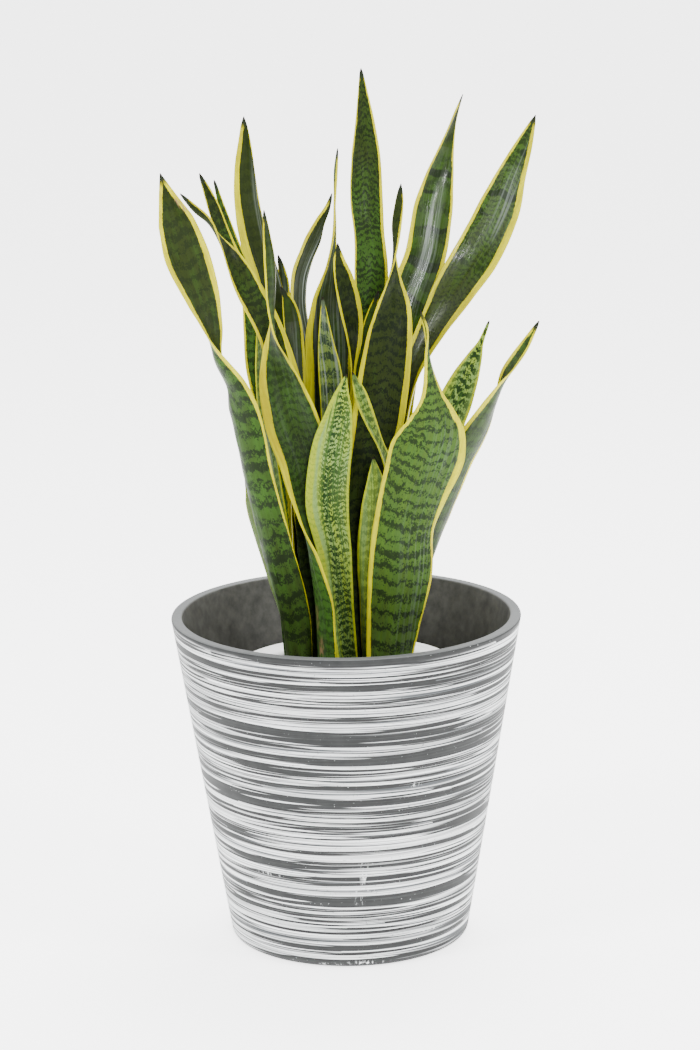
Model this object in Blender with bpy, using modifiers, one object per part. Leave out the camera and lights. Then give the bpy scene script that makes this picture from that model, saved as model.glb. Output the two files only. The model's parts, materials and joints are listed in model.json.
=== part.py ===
"""Potted laurentii snake plant: sword leaves rooted in soil, in a lined, tapered planter.

The origin is the centre of the planter's base on the floor, +Z is up, and -Y is the front.
Every size below is in millimetres and is turned into metres where a mesh is made.
"""

import math

import bmesh
import bpy
from mathutils import Vector

MM = 0.001
MERGE = 0.00005

# Planter, a straight taper with a soft lip.
PLANTER_HEIGHT = 290.0
PLANTER_RIM_RADIUS = 152.5
PLANTER_FOOT_RADIUS = 104.0
PLANTER_WALL = 9.6
PLANTER_FLOOR = 12.0
PLANTER_FOOT_ROUND = 8.0
PLANTER_TURNS = 56

# Grower's liner, which stands on the planter's floor and has a wide white collar.
GAP = 0.3
COLLAR_TOP = 246.0
COLLAR_THICKNESS = 3.0
COLLAR_OUTER_RADIUS = 101.0
COLLAR_SKIRT = 9.0
LINER_WALL = 2.6
LINER_MOUTH_RADIUS = 76.0
LINER_FOOT_RADIUS = 62.0
LINER_FLOOR = 3.0
LINER_TURNS = 40
DRAIN_HOLES = 5
DRAIN_RADIUS = 5.0
DRAIN_CIRCLE = 40.0

# Soil, with one plain hole for each leaf.
SOIL_TOP = 235.0
SOIL_CROWN = 1.5
SOIL_TURNS = 40

# Leaves.
ROOT_DEPTH = 25.0
HOLE_CLEARANCE = 0.45
LEAF_SECTIONS = 18
LEAF_STRIPS = 5
LEAF_BASE_THICKNESS = 4.6
LEAF_BLADE_THICKNESS = 2.0
LEAF_MARGIN_SHARE = 0.42
LEAF_TIP_WIDTH = 1.6

# Each leaf is a list of stations from the soil to the tip:
# x, y, height above the soil, width round the blade, the direction that the inner face looks
# (0 is the front, 90 is +X), and how many degrees the blade's channel wraps.
LEAVES = {
    "leaf_far_left": [
        (-41, -36, 0, 27, 168, 160), (-47, -42, 67, 33, 160, 125), (-62, -50, 129, 34, 155, 105),
        (-75.5, -62, 191, 33, 150, 90), (-86, -73, 247, 36, 142, 80), (-93, -78, 270, 39, 122, 95),
        (-106, -84, 297, 35, 103, 125), (-110, -89, 324, 29, 62, 80), (-117, -95, 354, 34, 34, 55),
        (-127, -101, 385, 39, 20, 50), (-135, -107, 415, 32, 14, 45), (-140.5, -112, 435, 21, 12, 45),
        (-146.5, -118, 459, 3, 10, 45)],
    "leaf_front_left": [
        (-22, -31, 0, 46, 78, 205), (-24, -31, 66, 54, 76, 205), (-27, -29, 110, 55, 62, 178),
        (-27, -28, 149, 51, 34, 115), (-30, -30, 190, 50, 4, 75), (-44, -35, 235, 48, -2, 55),
        (-51, -39, 264, 41, -10, 50), (-56, -43, 294, 27, -40, 50), (-58, -46, 316, 19, -80, 60),
        (-58, -48, 340, 18, -112, 60), (-58.5, -51, 370, 16, -126, 60),
        (-61.5, -53, 397, 9, -132, 60), (-64, -55, 418, 2, -135, 60)],
    "leaf_pale_centre": [
        (2, -27, 0, 20, 8, 120), (-5, -29, 70, 26, 5, 100), (-9.5, -29.5, 118, 32, 3, 80),
        (-15, -36, 164, 39, 0, 65), (-11, -44, 207, 37, 0, 60), (-4, -52, 243, 25, 0, 60),
        (0, -57, 266, 12, 0, 60), (3, -60, 279, 2, 0, 60)],
    "leaf_front_broad": [
        (34, -46, 0, 38, 180, 90), (41, -50, 60, 50, 180, 70), (47, -56, 105, 57, 180, 55),
        (50, -62, 144, 54, 182, 55), (60, -70, 180, 60, 184, 45), (70, -77, 210, 66, 184, 40),
        (75, -81, 230, 57, 184, 40), (76, -85, 247, 40, 190, 45), (75, -88, 266, 21, 205, 50),
        (73, -91, 284, 14, 230, 60), (71, -94, 305, 11, 262, 80), (70, -96, 324, 9, 290, 60),
        (65, -97, 339, 2, 300, 50)],
    "leaf_low_pale": [
        (20, -24, 0, 20, 150, 120), (22, -27, 70, 26, 165, 80), (24, -31, 118, 30, 175, 60),
        (26, -35, 152, 26, 178, 55), (26.5, -38, 181, 15, 180, 50), (25, -41, 203, 2, 180, 50)],
    "leaf_pale_twist": [
        (30, -11, 0, 16, 0, 130), (36.5, -15, 90, 18, 0, 90), (40, -21, 160, 20, 20, 70),
        (38, -25, 187, 18, 58, 60), (31, -28, 208, 15, 74, 60), (22.5, -31, 231, 14, 50, 60),
        (15, -33, 254, 12, 20, 50), (8, -36, 276, 2, 10, 50)],
    "leaf_right_outer": [
        (44, -21, 0, 24, 195, 140), (55, -27, 70, 28, 195, 110), (68, -33, 122, 31, 198, 95),
        (85.5, -40, 167, 33, 202, 85), (101.5, -47, 204, 33, 208, 80), (116.5, -53, 229, 29, 218, 90),
        (128, -59, 253, 25, 242, 110), (136.5, -63, 273, 20, 270, 110),
        (145.5, -67, 290, 14, 300, 80), (154.5, -71, 306, 9, 318, 50), (164.5, -75, 325, 2, 325, 50)],
    "leaf_right_pale": [
        (45, 3, 0, 18, 15, 130), (60, 3, 110, 24, 10, 90), (82, 4, 200, 30, 0, 65),
        (95.5, 4, 238, 30, -5, 55), (105, 4, 261, 24, -5, 50), (114, 5, 281, 13, -5, 50),
        (119, 5, 293, 5, -5, 50), (126, 5, 311, 2, -5, 50)],
    "leaf_far_right": [
        (35, 15, 0, 22, -60, 140), (41, 19, 119, 26, -58, 110), (49, 25, 208, 28, -55, 90),
        (62.5, 33, 265, 28, -50, 75), (79.5, 41, 297, 32, -40, 60), (101, 51, 334, 39, -22, 45),
        (119, 58, 362, 41, -10, 42), (136, 66, 395, 38, -5, 42), (148.5, 73, 427, 26, 0, 42),
        (160, 79, 453, 15, 0, 42), (170, 84, 477, 2, 0, 42)],
    "leaf_right_tall": [
        (26, 28, 0, 24, 4, 140), (32, 36, 129, 34, 4, 100), (43, 46, 238, 40, 3, 70),
        (59, 58, 321, 40, 0, 55), (73.5, 64, 361, 37, 0, 50), (79, 69, 392, 36, 0, 50),
        (85, 73, 424, 27, 8, 55), (92, 77, 453, 16, 35, 60), (98.5, 80, 475, 10, 65, 60),
        (107, 83, 496, 2, 80, 60)],
    "leaf_tallest": [
        (7, 40, 0, 25, 0, 130), (10, 48, 139, 30, 0, 90), (18, 61, 258, 31, 0, 60),
        (26, 72, 346, 30, 0, 45), (24.5, 75, 376, 27, 0, 42), (22.5, 78, 406, 29, 0, 40),
        (22.5, 81, 441, 26, 0, 40), (22, 84, 470, 18, 0, 40), (20.5, 86, 498, 9, 0, 40),
        (19, 88, 519, 2, 0, 40)],
    "leaf_dark_twist": [
        (10, -2, 0, 22, 0, 140), (12.5, -5, 90, 28, 0, 110), (19, -7, 170, 40, 0, 80),
        (31.5, -4, 240, 47, 0, 60), (38.5, -2, 290, 43, 5, 55), (42.5, 0, 322, 34, 18, 55),
        (43, 2, 348, 22, 54, 60), (45, 3, 372, 14, 95, 70), (46.5, 4, 395, 13, 130, 55),
        (49.5, 5, 415, 9, 140, 55), (51.5, 6, 430, 2, 145, 55)],
    "leaf_small_dark": [
        (7, 23, 0, 13, 0, 130), (8.5, 25, 130, 14, 0, 90), (12, 29, 219, 14, 0, 70),
        (18, 34, 279, 14, 0, 60), (25, 38, 309, 10, 0, 60), (31.5, 40, 332, 2, 0, 60)],
    "leaf_centre_dark": [
        (-1, 10, 0, 16, 60, 130), (4, 11, 140, 17, 80, 80), (7, 13, 262, 18, 80, 60),
        (9, 15, 298, 20, 42, 50), (6.5, 16, 325, 20, 8, 50), (2, 16, 347, 17, 0, 50),
        (-2, 16, 364, 10, 0, 50), (-3, 16, 378, 2, 0, 50)],
    "leaf_centre_left": [
        (-12, 22, 0, 22, 0, 140), (-14, 24, 130, 30, 0, 100), (-13, 26, 230, 41, 0, 70),
        (-12, 27, 285, 42, 0, 60), (-13, 27, 325, 30, 12, 60), (-9.5, 27, 358, 16, 50, 60),
        (-6, 27, 388, 9, 80, 60), (-5, 27, 415, 7, 95, 40), (-4, 27, 440, 6, 120, 40),
        (-2, 27, 458, 2, 120, 40)],
    "leaf_centre_pale": [
        (-12, -7, 0, 17, 0, 130), (-11.5, -6, 140, 20, 0, 80), (-9, -4, 230, 22, 0, 65),
        (-11, -2, 268, 21, 0, 60), (-14, 0, 295, 14, 0, 60), (-16.5, 2, 334, 2, 0, 60)],
    "leaf_violet": [
        (-10, 46, 0, 20, 55, 130), (-20, 54, 149, 22, 55, 80), (-32, 66, 263, 24, 55, 60),
        (-40.5, 73, 322, 24, 54, 55), (-38, 75, 343, 24, 52, 55), (-32.5, 77, 358, 22, 50, 55),
        (-26, 79, 372, 20, 45, 55), (-19.5, 80, 386, 13, 45, 55), (-12, 82, 399, 7, 45, 55),
        (-7.5, 84, 411, 2, 45, 55)],
    "leaf_left_hook": [
        (-35, 18, 0, 17, 20, 130), (-39, 14, 140, 19, 20, 80), (-39.5, 14, 230, 19, 20, 65),
        (-41.5, 15, 285, 18, 10, 60), (-43, 16, 312, 16, 0, 60), (-47, 16, 330, 10, 0, 60),
        (-52.5, 16, 341, 2, 0, 60)],
    "leaf_left_small": [
        (-32, 46, 0, 14, 0, 130), (-44, 52, 169, 14, 0, 80), (-50.5, 58, 287, 13, 0, 60),
        (-51, 60, 333, 12, 0, 60), (-52, 61, 348, 7, 0, 60), (-55, 62, 361, 2, 0, 60)],
    "leaf_left_tall": [
        (-36, 32, 0, 22, 25, 140), (-43, 36, 149, 25, 30, 90), (-54, 43, 268, 27, 28, 65),
        (-67, 49, 343, 27, 25, 55), (-76, 51, 375, 26, 20, 50), (-81.5, 54, 408, 23, 15, 50),
        (-83, 56, 435, 19, 15, 50), (-82.5, 59, 459, 12, 15, 50), (-82.5, 61, 482, 3, 15, 50)],
    "leaf_left_spike": [
        (-25, 8, 0, 15, 10, 130), (-29, 6, 150, 16, 10, 80), (-43, 6, 255, 17, 5, 60),
        (-58, 8, 304, 17, 0, 50), (-72, 9, 336, 15, 0, 50), (-85, 10, 361, 13, 0, 50),
        (-98, 12, 399, 8, 0, 50), (-107.5, 14, 434, 2, 0, 50)],
    "leaf_left_green": [
        (-46, 3, 0, 17, 0, 130), (-54, 1, 110, 17, 0, 90), (-66.5, -1, 235, 18, 0, 70),
        (-74, -1, 270, 18, 0, 60), (-77, -1, 308, 16, 0, 60), (-79, -2, 334, 14, 0, 60),
        (-85, -3, 356, 14, 0, 60), (-94, -4, 376, 13, 0, 60), (-102, -5, 397, 12, 0, 60),
        (-107, -6, 412, 11, 0, 60), (-112, -7, 426, 8, 0, 60), (-119, -8, 443, 2, 0, 60)],
    "leaf_left_thin": [
        (-29, -9, 0, 17, 0, 140), (-33, -9, 140, 22, 0, 90), (-46, -12, 241, 23, 0, 65),
        (-61, -17, 308, 24, 0, 55), (-78, -21, 343, 23, 10, 50), (-92, -25, 371, 19, 45, 50),
        (-101.5, -28, 387, 14, 82, 60), (-112, -31, 406, 11, 120, 50), (-123, -33, 417, 8, 135, 50),
        (-134.5, -35, 430, 2, 140, 50)],
    "leaf_left_inner": [
        (-44, -11, 0, 13, 0, 130), (-53, -14, 120, 14, 0, 90), (-66, -14, 220, 13, 0, 70),
        (-70, -13, 270, 10, 0, 60), (-72, -13, 316, 2, 0, 60)],
    "leaf_left_low": [
        (-41, -24, 0, 14, 165, 130), (-48, -26, 50, 17, 165, 110), (-61, -28.5, 99, 20, 165, 90),
        (-73, -32, 147, 21, 170, 70), (-79, -35, 171, 15, 170, 60), (-85, -38, 187, 2, 170, 60)],
}

PALE_LEAVES = {"leaf_pale_centre", "leaf_low_pale", "leaf_pale_twist", "leaf_right_pale",
               "leaf_centre_pale", "leaf_left_low", "leaf_left_inner"}


def clear_scene():
    """Remove every object and collection that the open file holds."""
    for obj in list(bpy.data.objects):
        bpy.data.objects.remove(obj)
    for collection in list(bpy.data.collections):
        bpy.data.collections.remove(collection)


def make_collection(name):
    """A new collection in the scene."""
    collection = bpy.data.collections.new(name)
    bpy.context.scene.collection.children.link(collection)
    return collection


def plain_material(name, colour, roughness):
    """A Principled material of one colour."""
    material = bpy.data.materials.new(name)
    material.use_nodes = True
    shader = material.node_tree.nodes["Principled BSDF"]
    shader.inputs["Base Color"].default_value = (*colour, 1.0)
    shader.inputs["Roughness"].default_value = roughness
    shader.inputs["Metallic"].default_value = 0.0
    material.diffuse_color = (*colour, 1.0)
    return material


def add_object(name, mesh, collection, material=None):
    """Put a mesh into the scene as a named object."""
    obj = bpy.data.objects.new(name, mesh)
    collection.objects.link(obj)
    if material is not None:
        mesh.materials.append(material)
    return obj


def mark_as_cutter(obj):
    """Cutters are shown as wires and never rendered."""
    obj.hide_render = True
    obj.display_type = "WIRE"


def turned(name, profile, turns, collection, material=None):
    """A solid of revolution from a closed (radius, height) outline that runs down its outer side."""
    bm = bmesh.new()
    points = [bm.verts.new((radius * MM, 0.0, height * MM)) for radius, height in profile]
    on_axis = profile[0][0] == 0.0 and profile[-1][0] == 0.0
    for first, second in zip(points, points[1:]):
        bm.edges.new((first, second))
    if not on_axis:
        bm.edges.new((points[-1], points[0]))
    mesh = bpy.data.meshes.new(name)
    bm.to_mesh(mesh)
    bm.free()
    obj = add_object(name, mesh, collection, material)
    screw = obj.modifiers.new("turn", "SCREW")
    screw.axis = "Z"
    screw.angle = math.tau
    screw.steps = turns
    screw.render_steps = turns
    screw.use_merge_vertices = True
    screw.merge_threshold = MERGE
    screw.use_smooth_shade = True
    return obj


def arc(centre, radius, start, end, steps):
    """Points of a round stretch in a profile, with its angles in degrees from +X."""
    points = []
    for step in range(steps + 1):
        angle = math.radians(start + (end - start) * step / steps)
        points.append((centre[0] + radius * math.cos(angle), centre[1] + radius * math.sin(angle)))
    return points


def planter_profile():
    """The planter's wall: rounded lip, straight taper, rounded foot, flat floor inside."""
    lip = PLANTER_WALL / 2
    slope = (PLANTER_RIM_RADIUS - PLANTER_FOOT_RADIUS) / PLANTER_HEIGHT
    lean = math.degrees(math.atan(slope))
    lip_centre = (PLANTER_RIM_RADIUS - lip, PLANTER_HEIGHT - lip)
    foot_centre = (PLANTER_FOOT_RADIUS - PLANTER_FOOT_ROUND + slope * PLANTER_FOOT_ROUND, PLANTER_FOOT_ROUND)
    inner_floor_radius = PLANTER_FOOT_RADIUS - PLANTER_WALL + slope * PLANTER_FLOOR
    profile = [(0.0, PLANTER_FLOOR), (inner_floor_radius - 6.0, PLANTER_FLOOR)]
    profile.append((inner_floor_radius, PLANTER_FLOOR + 5.0))
    profile += arc(lip_centre, lip, 180 - lean, -lean, 8)
    profile += arc(foot_centre, PLANTER_FOOT_ROUND, -lean, -90, 4)
    profile.append((0.0, 0.0))
    return profile


def make_planter(collection, material):
    """The outer planter, which carries everything."""
    return turned("planter", planter_profile(), PLANTER_TURNS, collection, material)


def liner_profile():
    """The liner: wide collar with a turned-down skirt, thin tapered wall and a flat floor."""
    foot = PLANTER_FLOOR + GAP
    outer_foot = LINER_FOOT_RADIUS
    outer_mouth = LINER_MOUTH_RADIUS + LINER_WALL
    under_collar = COLLAR_TOP - COLLAR_THICKNESS
    skirt_round = 1.5
    profile = [(0.0, foot + LINER_FLOOR), (outer_foot - LINER_WALL, foot + LINER_FLOOR)]
    profile.append((LINER_MOUTH_RADIUS, COLLAR_TOP - 1.0))
    profile.append((LINER_MOUTH_RADIUS + 1.0, COLLAR_TOP))
    profile += arc((COLLAR_OUTER_RADIUS - skirt_round, COLLAR_TOP - skirt_round), skirt_round, 90, 0, 3)
    profile.append((COLLAR_OUTER_RADIUS + 0.6, COLLAR_TOP - COLLAR_SKIRT))
    profile.append((COLLAR_OUTER_RADIUS - 1.6, COLLAR_TOP - COLLAR_SKIRT))
    profile.append((COLLAR_OUTER_RADIUS - 2.4, under_collar))
    profile.append((outer_mouth, under_collar))
    profile.append((outer_foot, foot + 2.0))
    profile.append((outer_foot - 2.0, foot))
    profile.append((0.0, foot))
    return profile


def make_liner(collection, cutters, material):
    """The grower's liner, with drain holes in its floor."""
    liner = turned("liner", liner_profile(), LINER_TURNS, collection, material)
    for index in range(DRAIN_HOLES):
        angle = math.tau * (index + 0.5) / DRAIN_HOLES
        centre = Vector((math.cos(angle), math.sin(angle), 0.0)) * DRAIN_CIRCLE * MM
        centre.z = (PLANTER_FLOOR + GAP + LINER_FLOOR / 2) * MM
        bm = bmesh.new()
        bmesh.ops.create_cone(bm, cap_ends=True, segments=12, radius1=DRAIN_RADIUS * MM,
                              radius2=DRAIN_RADIUS * MM, depth=3 * LINER_FLOOR * MM)
        mesh = bpy.data.meshes.new("drain_cutter")
        bm.to_mesh(mesh)
        bm.free()
        cutter = add_object(f"drain_cutter_{index}", mesh, cutters)
        cutter.location = centre
        mark_as_cutter(cutter)
        cut = liner.modifiers.new(f"drain_{index}", "BOOLEAN")
        cut.operation = "DIFFERENCE"
        cut.solver = "EXACT"
        cut.object = cutter
    return liner


def soil_profile():
    """The soil fills the liner to just below its collar, slightly crowned."""
    foot = PLANTER_FLOOR + GAP + LINER_FLOOR + GAP
    foot_radius = LINER_FOOT_RADIUS - LINER_WALL - 2 * GAP
    rise = (SOIL_TOP - foot) / (COLLAR_TOP - foot)
    mouth_radius = foot_radius + (LINER_MOUTH_RADIUS - 2 * GAP - foot_radius) * rise
    profile = [(0.0, SOIL_TOP + SOIL_CROWN), (mouth_radius * 0.6, SOIL_TOP + SOIL_CROWN * 0.7)]
    profile += [(mouth_radius, SOIL_TOP - SOIL_CROWN), (foot_radius, foot), (0.0, foot)]
    return profile


def slopes_along(values, knots, keeps_range):
    """Slope at each station, smooth for a path, and without overshoot where keeps_range is set."""
    rises = []
    for index in range(len(values) - 1):
        rises.append((values[index + 1] - values[index]) / (knots[index + 1] - knots[index]))
    slopes = [rises[0]]
    for index in range(1, len(values) - 1):
        before = knots[index] - knots[index - 1]
        after = knots[index + 1] - knots[index]
        low, high = rises[index - 1], rises[index]
        if not keeps_range:
            slopes.append((low * after + high * before) / (before + after))
        elif low * high <= 0.0:
            slopes.append(0.0)
        else:
            near, far = 2 * after + before, after + 2 * before
            slopes.append((near + far) / (near / low + far / high))
    slopes.append(rises[-1])
    return slopes


def sample_leaf(stations, count):
    """Even steps along a leaf's spine: its values, its direction and its share of the length."""
    knots = [0.0]
    for first, second in zip(stations, stations[1:]):
        knots.append(knots[-1] + math.dist(first[:3], second[:3]))
    columns = list(zip(*stations))
    slopes = [slopes_along(column, knots, index > 2) for index, column in enumerate(columns)]
    samples = []
    span = 0
    for step in range(count):
        distance = knots[-1] * step / (count - 1)
        while span < len(stations) - 2 and distance > knots[span + 1]:
            span += 1
        length = knots[span + 1] - knots[span]
        t = (distance - knots[span]) / length
        values = []
        heading = []
        for column, slope in zip(columns, slopes):
            low, high = column[span], column[span + 1]
            start, end = slope[span] * length, slope[span + 1] * length
            values.append((2 * t**3 - 3 * t**2 + 1) * low + (t**3 - 2 * t**2 + t) * start
                          + (3 * t**2 - 2 * t**3) * high + (t**3 - t**2) * end)
            heading.append((6 * t**2 - 6 * t) * (low - high) + (3 * t**2 - 4 * t + 1) * start
                           + (3 * t**2 - 2 * t) * end)
        samples.append((values, Vector(heading[:3]).normalized(), step / (count - 1)))
    return samples


def leaf_ring(values, direction, share, extra):
    """One closed section of a leaf: its inner face, then its outer face, each from edge to edge."""
    x, y, height, width, facing, wrap = values
    angle = math.radians(facing)
    inward = Vector((math.sin(angle), -math.cos(angle), 0.0))
    inward = (inward - direction * inward.dot(direction)).normalized()
    sideways = direction.cross(inward)
    width = max(width, LEAF_TIP_WIDTH) + 2 * extra
    wrap = math.radians(wrap)
    radius = width / wrap
    taper = (1.0 - share) ** 1.5
    thickness = LEAF_BASE_THICKNESS * taper + LEAF_BLADE_THICKNESS * (1.0 - taper)
    thickness = min(thickness, 0.9 + 0.2 * width)
    spine = Vector((x, y, SOIL_TOP + height))
    inner = []
    outer = []
    for strip in range(LEAF_STRIPS + 1):
        across = 2.0 * strip / LEAF_STRIPS - 1.0
        turn = across * wrap / 2
        normal = inward * math.cos(turn) - sideways * math.sin(turn)
        point = spine + sideways * radius * math.sin(turn) + inward * radius * (1.0 - math.cos(turn))
        half = thickness * (1.0 - (1.0 - LEAF_MARGIN_SHARE) * across * across) / 2 + extra
        inner.append((point + normal * half) * MM)
        outer.append((point - normal * half) * MM)
    return inner + outer[::-1]


def leaf_rings(stations, sections, extra):
    """Sections of a leaf from the bottom of its root to its tip."""
    samples = sample_leaf(stations, sections)
    values, direction, _ = samples[0]
    foot = Vector(values[:3]) - direction * (ROOT_DEPTH + extra) / direction.z
    root = (list(foot) + list(values[3:]), direction, 0.0)
    return [leaf_ring(*sample, extra) for sample in [root] + samples]


def loft(name, rings):
    """A closed mesh through rings of a blade, split into triangles alike on both faces."""
    bm = bmesh.new()
    rows = [[bm.verts.new(point) for point in ring] for ring in rings]
    side = len(rings[0]) // 2
    for low, high in zip(rows, rows[1:]):
        for index in range(2 * side):
            following = (index + 1) % (2 * side)
            a, b, c, d = low[index], low[following], high[following], high[index]
            if index < side:
                bm.faces.new((a, b, c))
                bm.faces.new((a, c, d))
            else:
                bm.faces.new((a, b, d))
                bm.faces.new((b, c, d))
    for row, is_root in ((rows[0], True), (rows[-1], False)):
        for index in range(side - 1):
            quad = [row[index], row[index + 1], row[-2 - index], row[-1 - index]]
            if is_root:
                quad.reverse()
            bm.faces.new(quad)
    bmesh.ops.recalc_face_normals(bm, faces=bm.faces)
    mesh = bpy.data.meshes.new(name)
    bm.to_mesh(mesh)
    bm.free()
    mesh.shade_smooth()
    return mesh


def make_leaf(name, stations, collection, material):
    """One sword leaf, whose root stands in its hole in the soil."""
    mesh = loft(name, leaf_rings(stations, LEAF_SECTIONS, 0.0))
    return add_object(name, mesh, collection, material)


def make_root_cutter(name, stations, cutters):
    """A leaf's root, swollen by the hole's clearance, from the hole's bottom to above the soil."""
    rings = leaf_rings(stations, LEAF_SECTIONS, HOLE_CLEARANCE)[:3]
    cutter = add_object(f"{name}_hole", loft(f"{name}_hole", rings), cutters)
    mark_as_cutter(cutter)
    return cutter


def make_soil(collection, cutters, material):
    """The soil, with a plain hole for each leaf's root."""
    soil = turned("soil", soil_profile(), SOIL_TURNS, collection, material)
    holes = bpy.data.collections.new("leaf_holes")
    cutters.children.link(holes)
    for name, stations in LEAVES.items():
        make_root_cutter(name, stations, holes)
    cut = soil.modifiers.new("leaf_holes", "BOOLEAN")
    cut.operation = "DIFFERENCE"
    cut.solver = "EXACT"
    cut.operand_type = "COLLECTION"
    cut.collection = holes
    return soil


def main():
    """Build the whole plant."""
    clear_scene()
    plant = make_collection("potted_snake_plant")
    cutters = make_collection("cutters")
    planter_grey = plain_material("brushed_grey", (0.36, 0.37, 0.37), 0.55)
    liner_white = plain_material("moulded_white", (0.82, 0.82, 0.80), 0.4)
    soil_brown = plain_material("potting_soil", (0.05, 0.038, 0.028), 0.95)
    leaf_green = plain_material("leaf_green", (0.09, 0.17, 0.05), 0.35)
    leaf_pale = plain_material("leaf_pale", (0.36, 0.48, 0.26), 0.35)
    make_planter(plant, planter_grey)
    make_liner(plant, cutters, liner_white)
    make_soil(plant, cutters, soil_brown)
    for name, stations in LEAVES.items():
        make_leaf(name, stations, plant, leaf_pale if name in PALE_LEAVES else leaf_green)


main()
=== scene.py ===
"""Looks of a potted laurentii snake plant, laid out as a Blender add-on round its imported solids.

Positions are in the solids' frame: metres, origin at the centre of the planter's base, +Z up,
-Y to the front. Tables and helper functions work in millimetres and turn them into metres where
a mesh is made. Each operator makes one piece or one group of like pieces.
"""

import json
import math
import random
from functools import partial
from itertools import combinations
from types import SimpleNamespace

import bpy
import numpy as np
from bpy.props import FloatProperty, FloatVectorProperty, IntProperty, PointerProperty
from mathutils import Matrix, Vector, noise

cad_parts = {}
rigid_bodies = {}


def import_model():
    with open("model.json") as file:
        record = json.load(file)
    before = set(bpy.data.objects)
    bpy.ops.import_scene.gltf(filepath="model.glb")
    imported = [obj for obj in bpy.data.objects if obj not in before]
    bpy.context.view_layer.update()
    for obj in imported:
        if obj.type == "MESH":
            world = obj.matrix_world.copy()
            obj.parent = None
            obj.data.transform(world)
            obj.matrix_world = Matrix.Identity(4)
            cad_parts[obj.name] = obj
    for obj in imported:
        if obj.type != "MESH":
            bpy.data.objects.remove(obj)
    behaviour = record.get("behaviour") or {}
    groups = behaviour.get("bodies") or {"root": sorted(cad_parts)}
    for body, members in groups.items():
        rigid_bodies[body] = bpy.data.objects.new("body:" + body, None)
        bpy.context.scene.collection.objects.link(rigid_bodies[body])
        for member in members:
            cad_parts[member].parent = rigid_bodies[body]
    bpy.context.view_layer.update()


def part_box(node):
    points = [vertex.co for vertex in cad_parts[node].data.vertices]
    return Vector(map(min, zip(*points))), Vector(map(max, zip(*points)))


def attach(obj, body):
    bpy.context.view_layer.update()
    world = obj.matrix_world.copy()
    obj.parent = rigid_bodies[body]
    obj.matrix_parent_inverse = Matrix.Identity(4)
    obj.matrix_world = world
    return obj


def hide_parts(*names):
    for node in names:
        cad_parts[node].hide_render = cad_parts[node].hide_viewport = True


bl_info = {
    "name": "Potted snake plant",
    "version": (1, 0, 0),
    "blender": (4, 5, 0),
    "location": "3D View > Sidebar > Snake plant",
    "description": "Builds a potted laurentii snake plant with its planter, liner, soil and leaves",
    "category": "Add Mesh",
}


def clear_scene():
    """Remove what Blender's start file holds."""
    for obj in list(bpy.data.objects):
        bpy.data.objects.remove(obj)


clear_scene()
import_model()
_, PLANTER_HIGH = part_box("planter")
LINER_LOW, LINER_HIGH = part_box("liner")
SOIL_LOW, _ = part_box("soil")

MM = 0.001

# Planter, in millimetres. A row is the width of one ring of its faces.
PLANTER_FOOT_RADIUS = 104.0
PLANTER_WALL = 9.6
PLANTER_FLOOR = 12.0
PLANTER_FOOT_ROUND = 8.0
FLOOR_ROUND = 6.0
PLANTER_ROW = 1.1
LIP_ROW = 1.2
INSIDE_ROW = 12.0
FLAT_ROW = 15.0
STRIPE_SPACING = 5.2
LIP_ROUND = 2.0
BARE_FOOT_BAND = 5.0

# Lumps for each metre in the painted part's upper and lower edges.
EDGE_LUMPS = 25

# Heights between which thin bare stripes lie, and the depth that stands for
# a place outside every stripe, in millimetres.
THIN_STRIPES = (10.0, 280.0)
FAR_OUTSIDE = -6.0

# Bare bands between the brushed strokes: height at angle 0, thickness, first and last angle
# round the planter (0 is the front, 90 is +X) and how far the band climbs in each radian to the
# right. Those past 90 degrees are at the back and made up.
BARE_BANDS = [
    (273.5, 3.5, -75, 80, -1.0), (263.0, 6.5, -80, 30, 1.5), (249.0, 4.0, -60, 85, 1.0),
    (236.5, 2.5, -80, 60, -1.5), (219.0, 9.5, -66, 62, 1.0), (207.0, 5.5, 18, 88, 3.0),
    (196.0, 4.0, -85, 75, 0.5), (182.0, 3.6, -80, 80, 1.5), (172.0, 3.0, -45, 70, 1.0),
    (158.0, 8.5, -90, 42, 0.5), (149.0, 3.0, -30, 80, 1.0), (135.5, 3.6, -80, 70, 1.2),
    (124.5, 4.6, -70, 80, 0.6), (111.0, 4.0, -85, 62, 1.0), (97.0, 4.4, -80, 84, 1.5),
    (79.0, 4.2, -85, 20, 1.0), (62.0, 6.5, -30, 76, 1.0), (50.0, 4.2, -85, 85, 0.8),
    (34.0, 3.0, -60, 60, 1.0), (19.5, 4.2, -80, 80, 0.6),
    (258.0, 7.0, 110, 215, 2.0), (231.0, 5.0, 95, 250, -2.0), (205.0, 8.0, 120, 262, 1.5),
    (176.0, 5.0, 98, 240, 2.0), (151.0, 7.5, 105, 225, -1.0), (129.0, 4.0, 100, 262, 1.5),
    (104.0, 6.5, 115, 250, 1.0), (83.0, 5.0, 96, 210, 2.0), (57.0, 6.0, 110, 258, -1.0),
    (28.0, 5.0, 100, 240, 1.0),
]

# Rubbed patches on the wall: angle round it, height, and half sizes in degrees and millimetres.
SCUFFS = [(6.0, 90.0, 1.3, 13.0), (10.0, 105.0, 4.5, 2.2), (4.0, 70.0, 1.2, 8.0), (8.0, 76.0, 4.0, 1.6),
          (40.0, 28.0, 6.0, 2.0), (-35.0, 84.0, 5.0, 1.5), (24.0, 171.0, 3.0, 2.0), (8.0, 5.0, 8.0, 1.8),
          (-9.0, 3.0, 5.0, 1.5), (150.0, 120.0, 5.0, 9.0), (-150.0, 70.0, 4.0, 6.0)]

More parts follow.
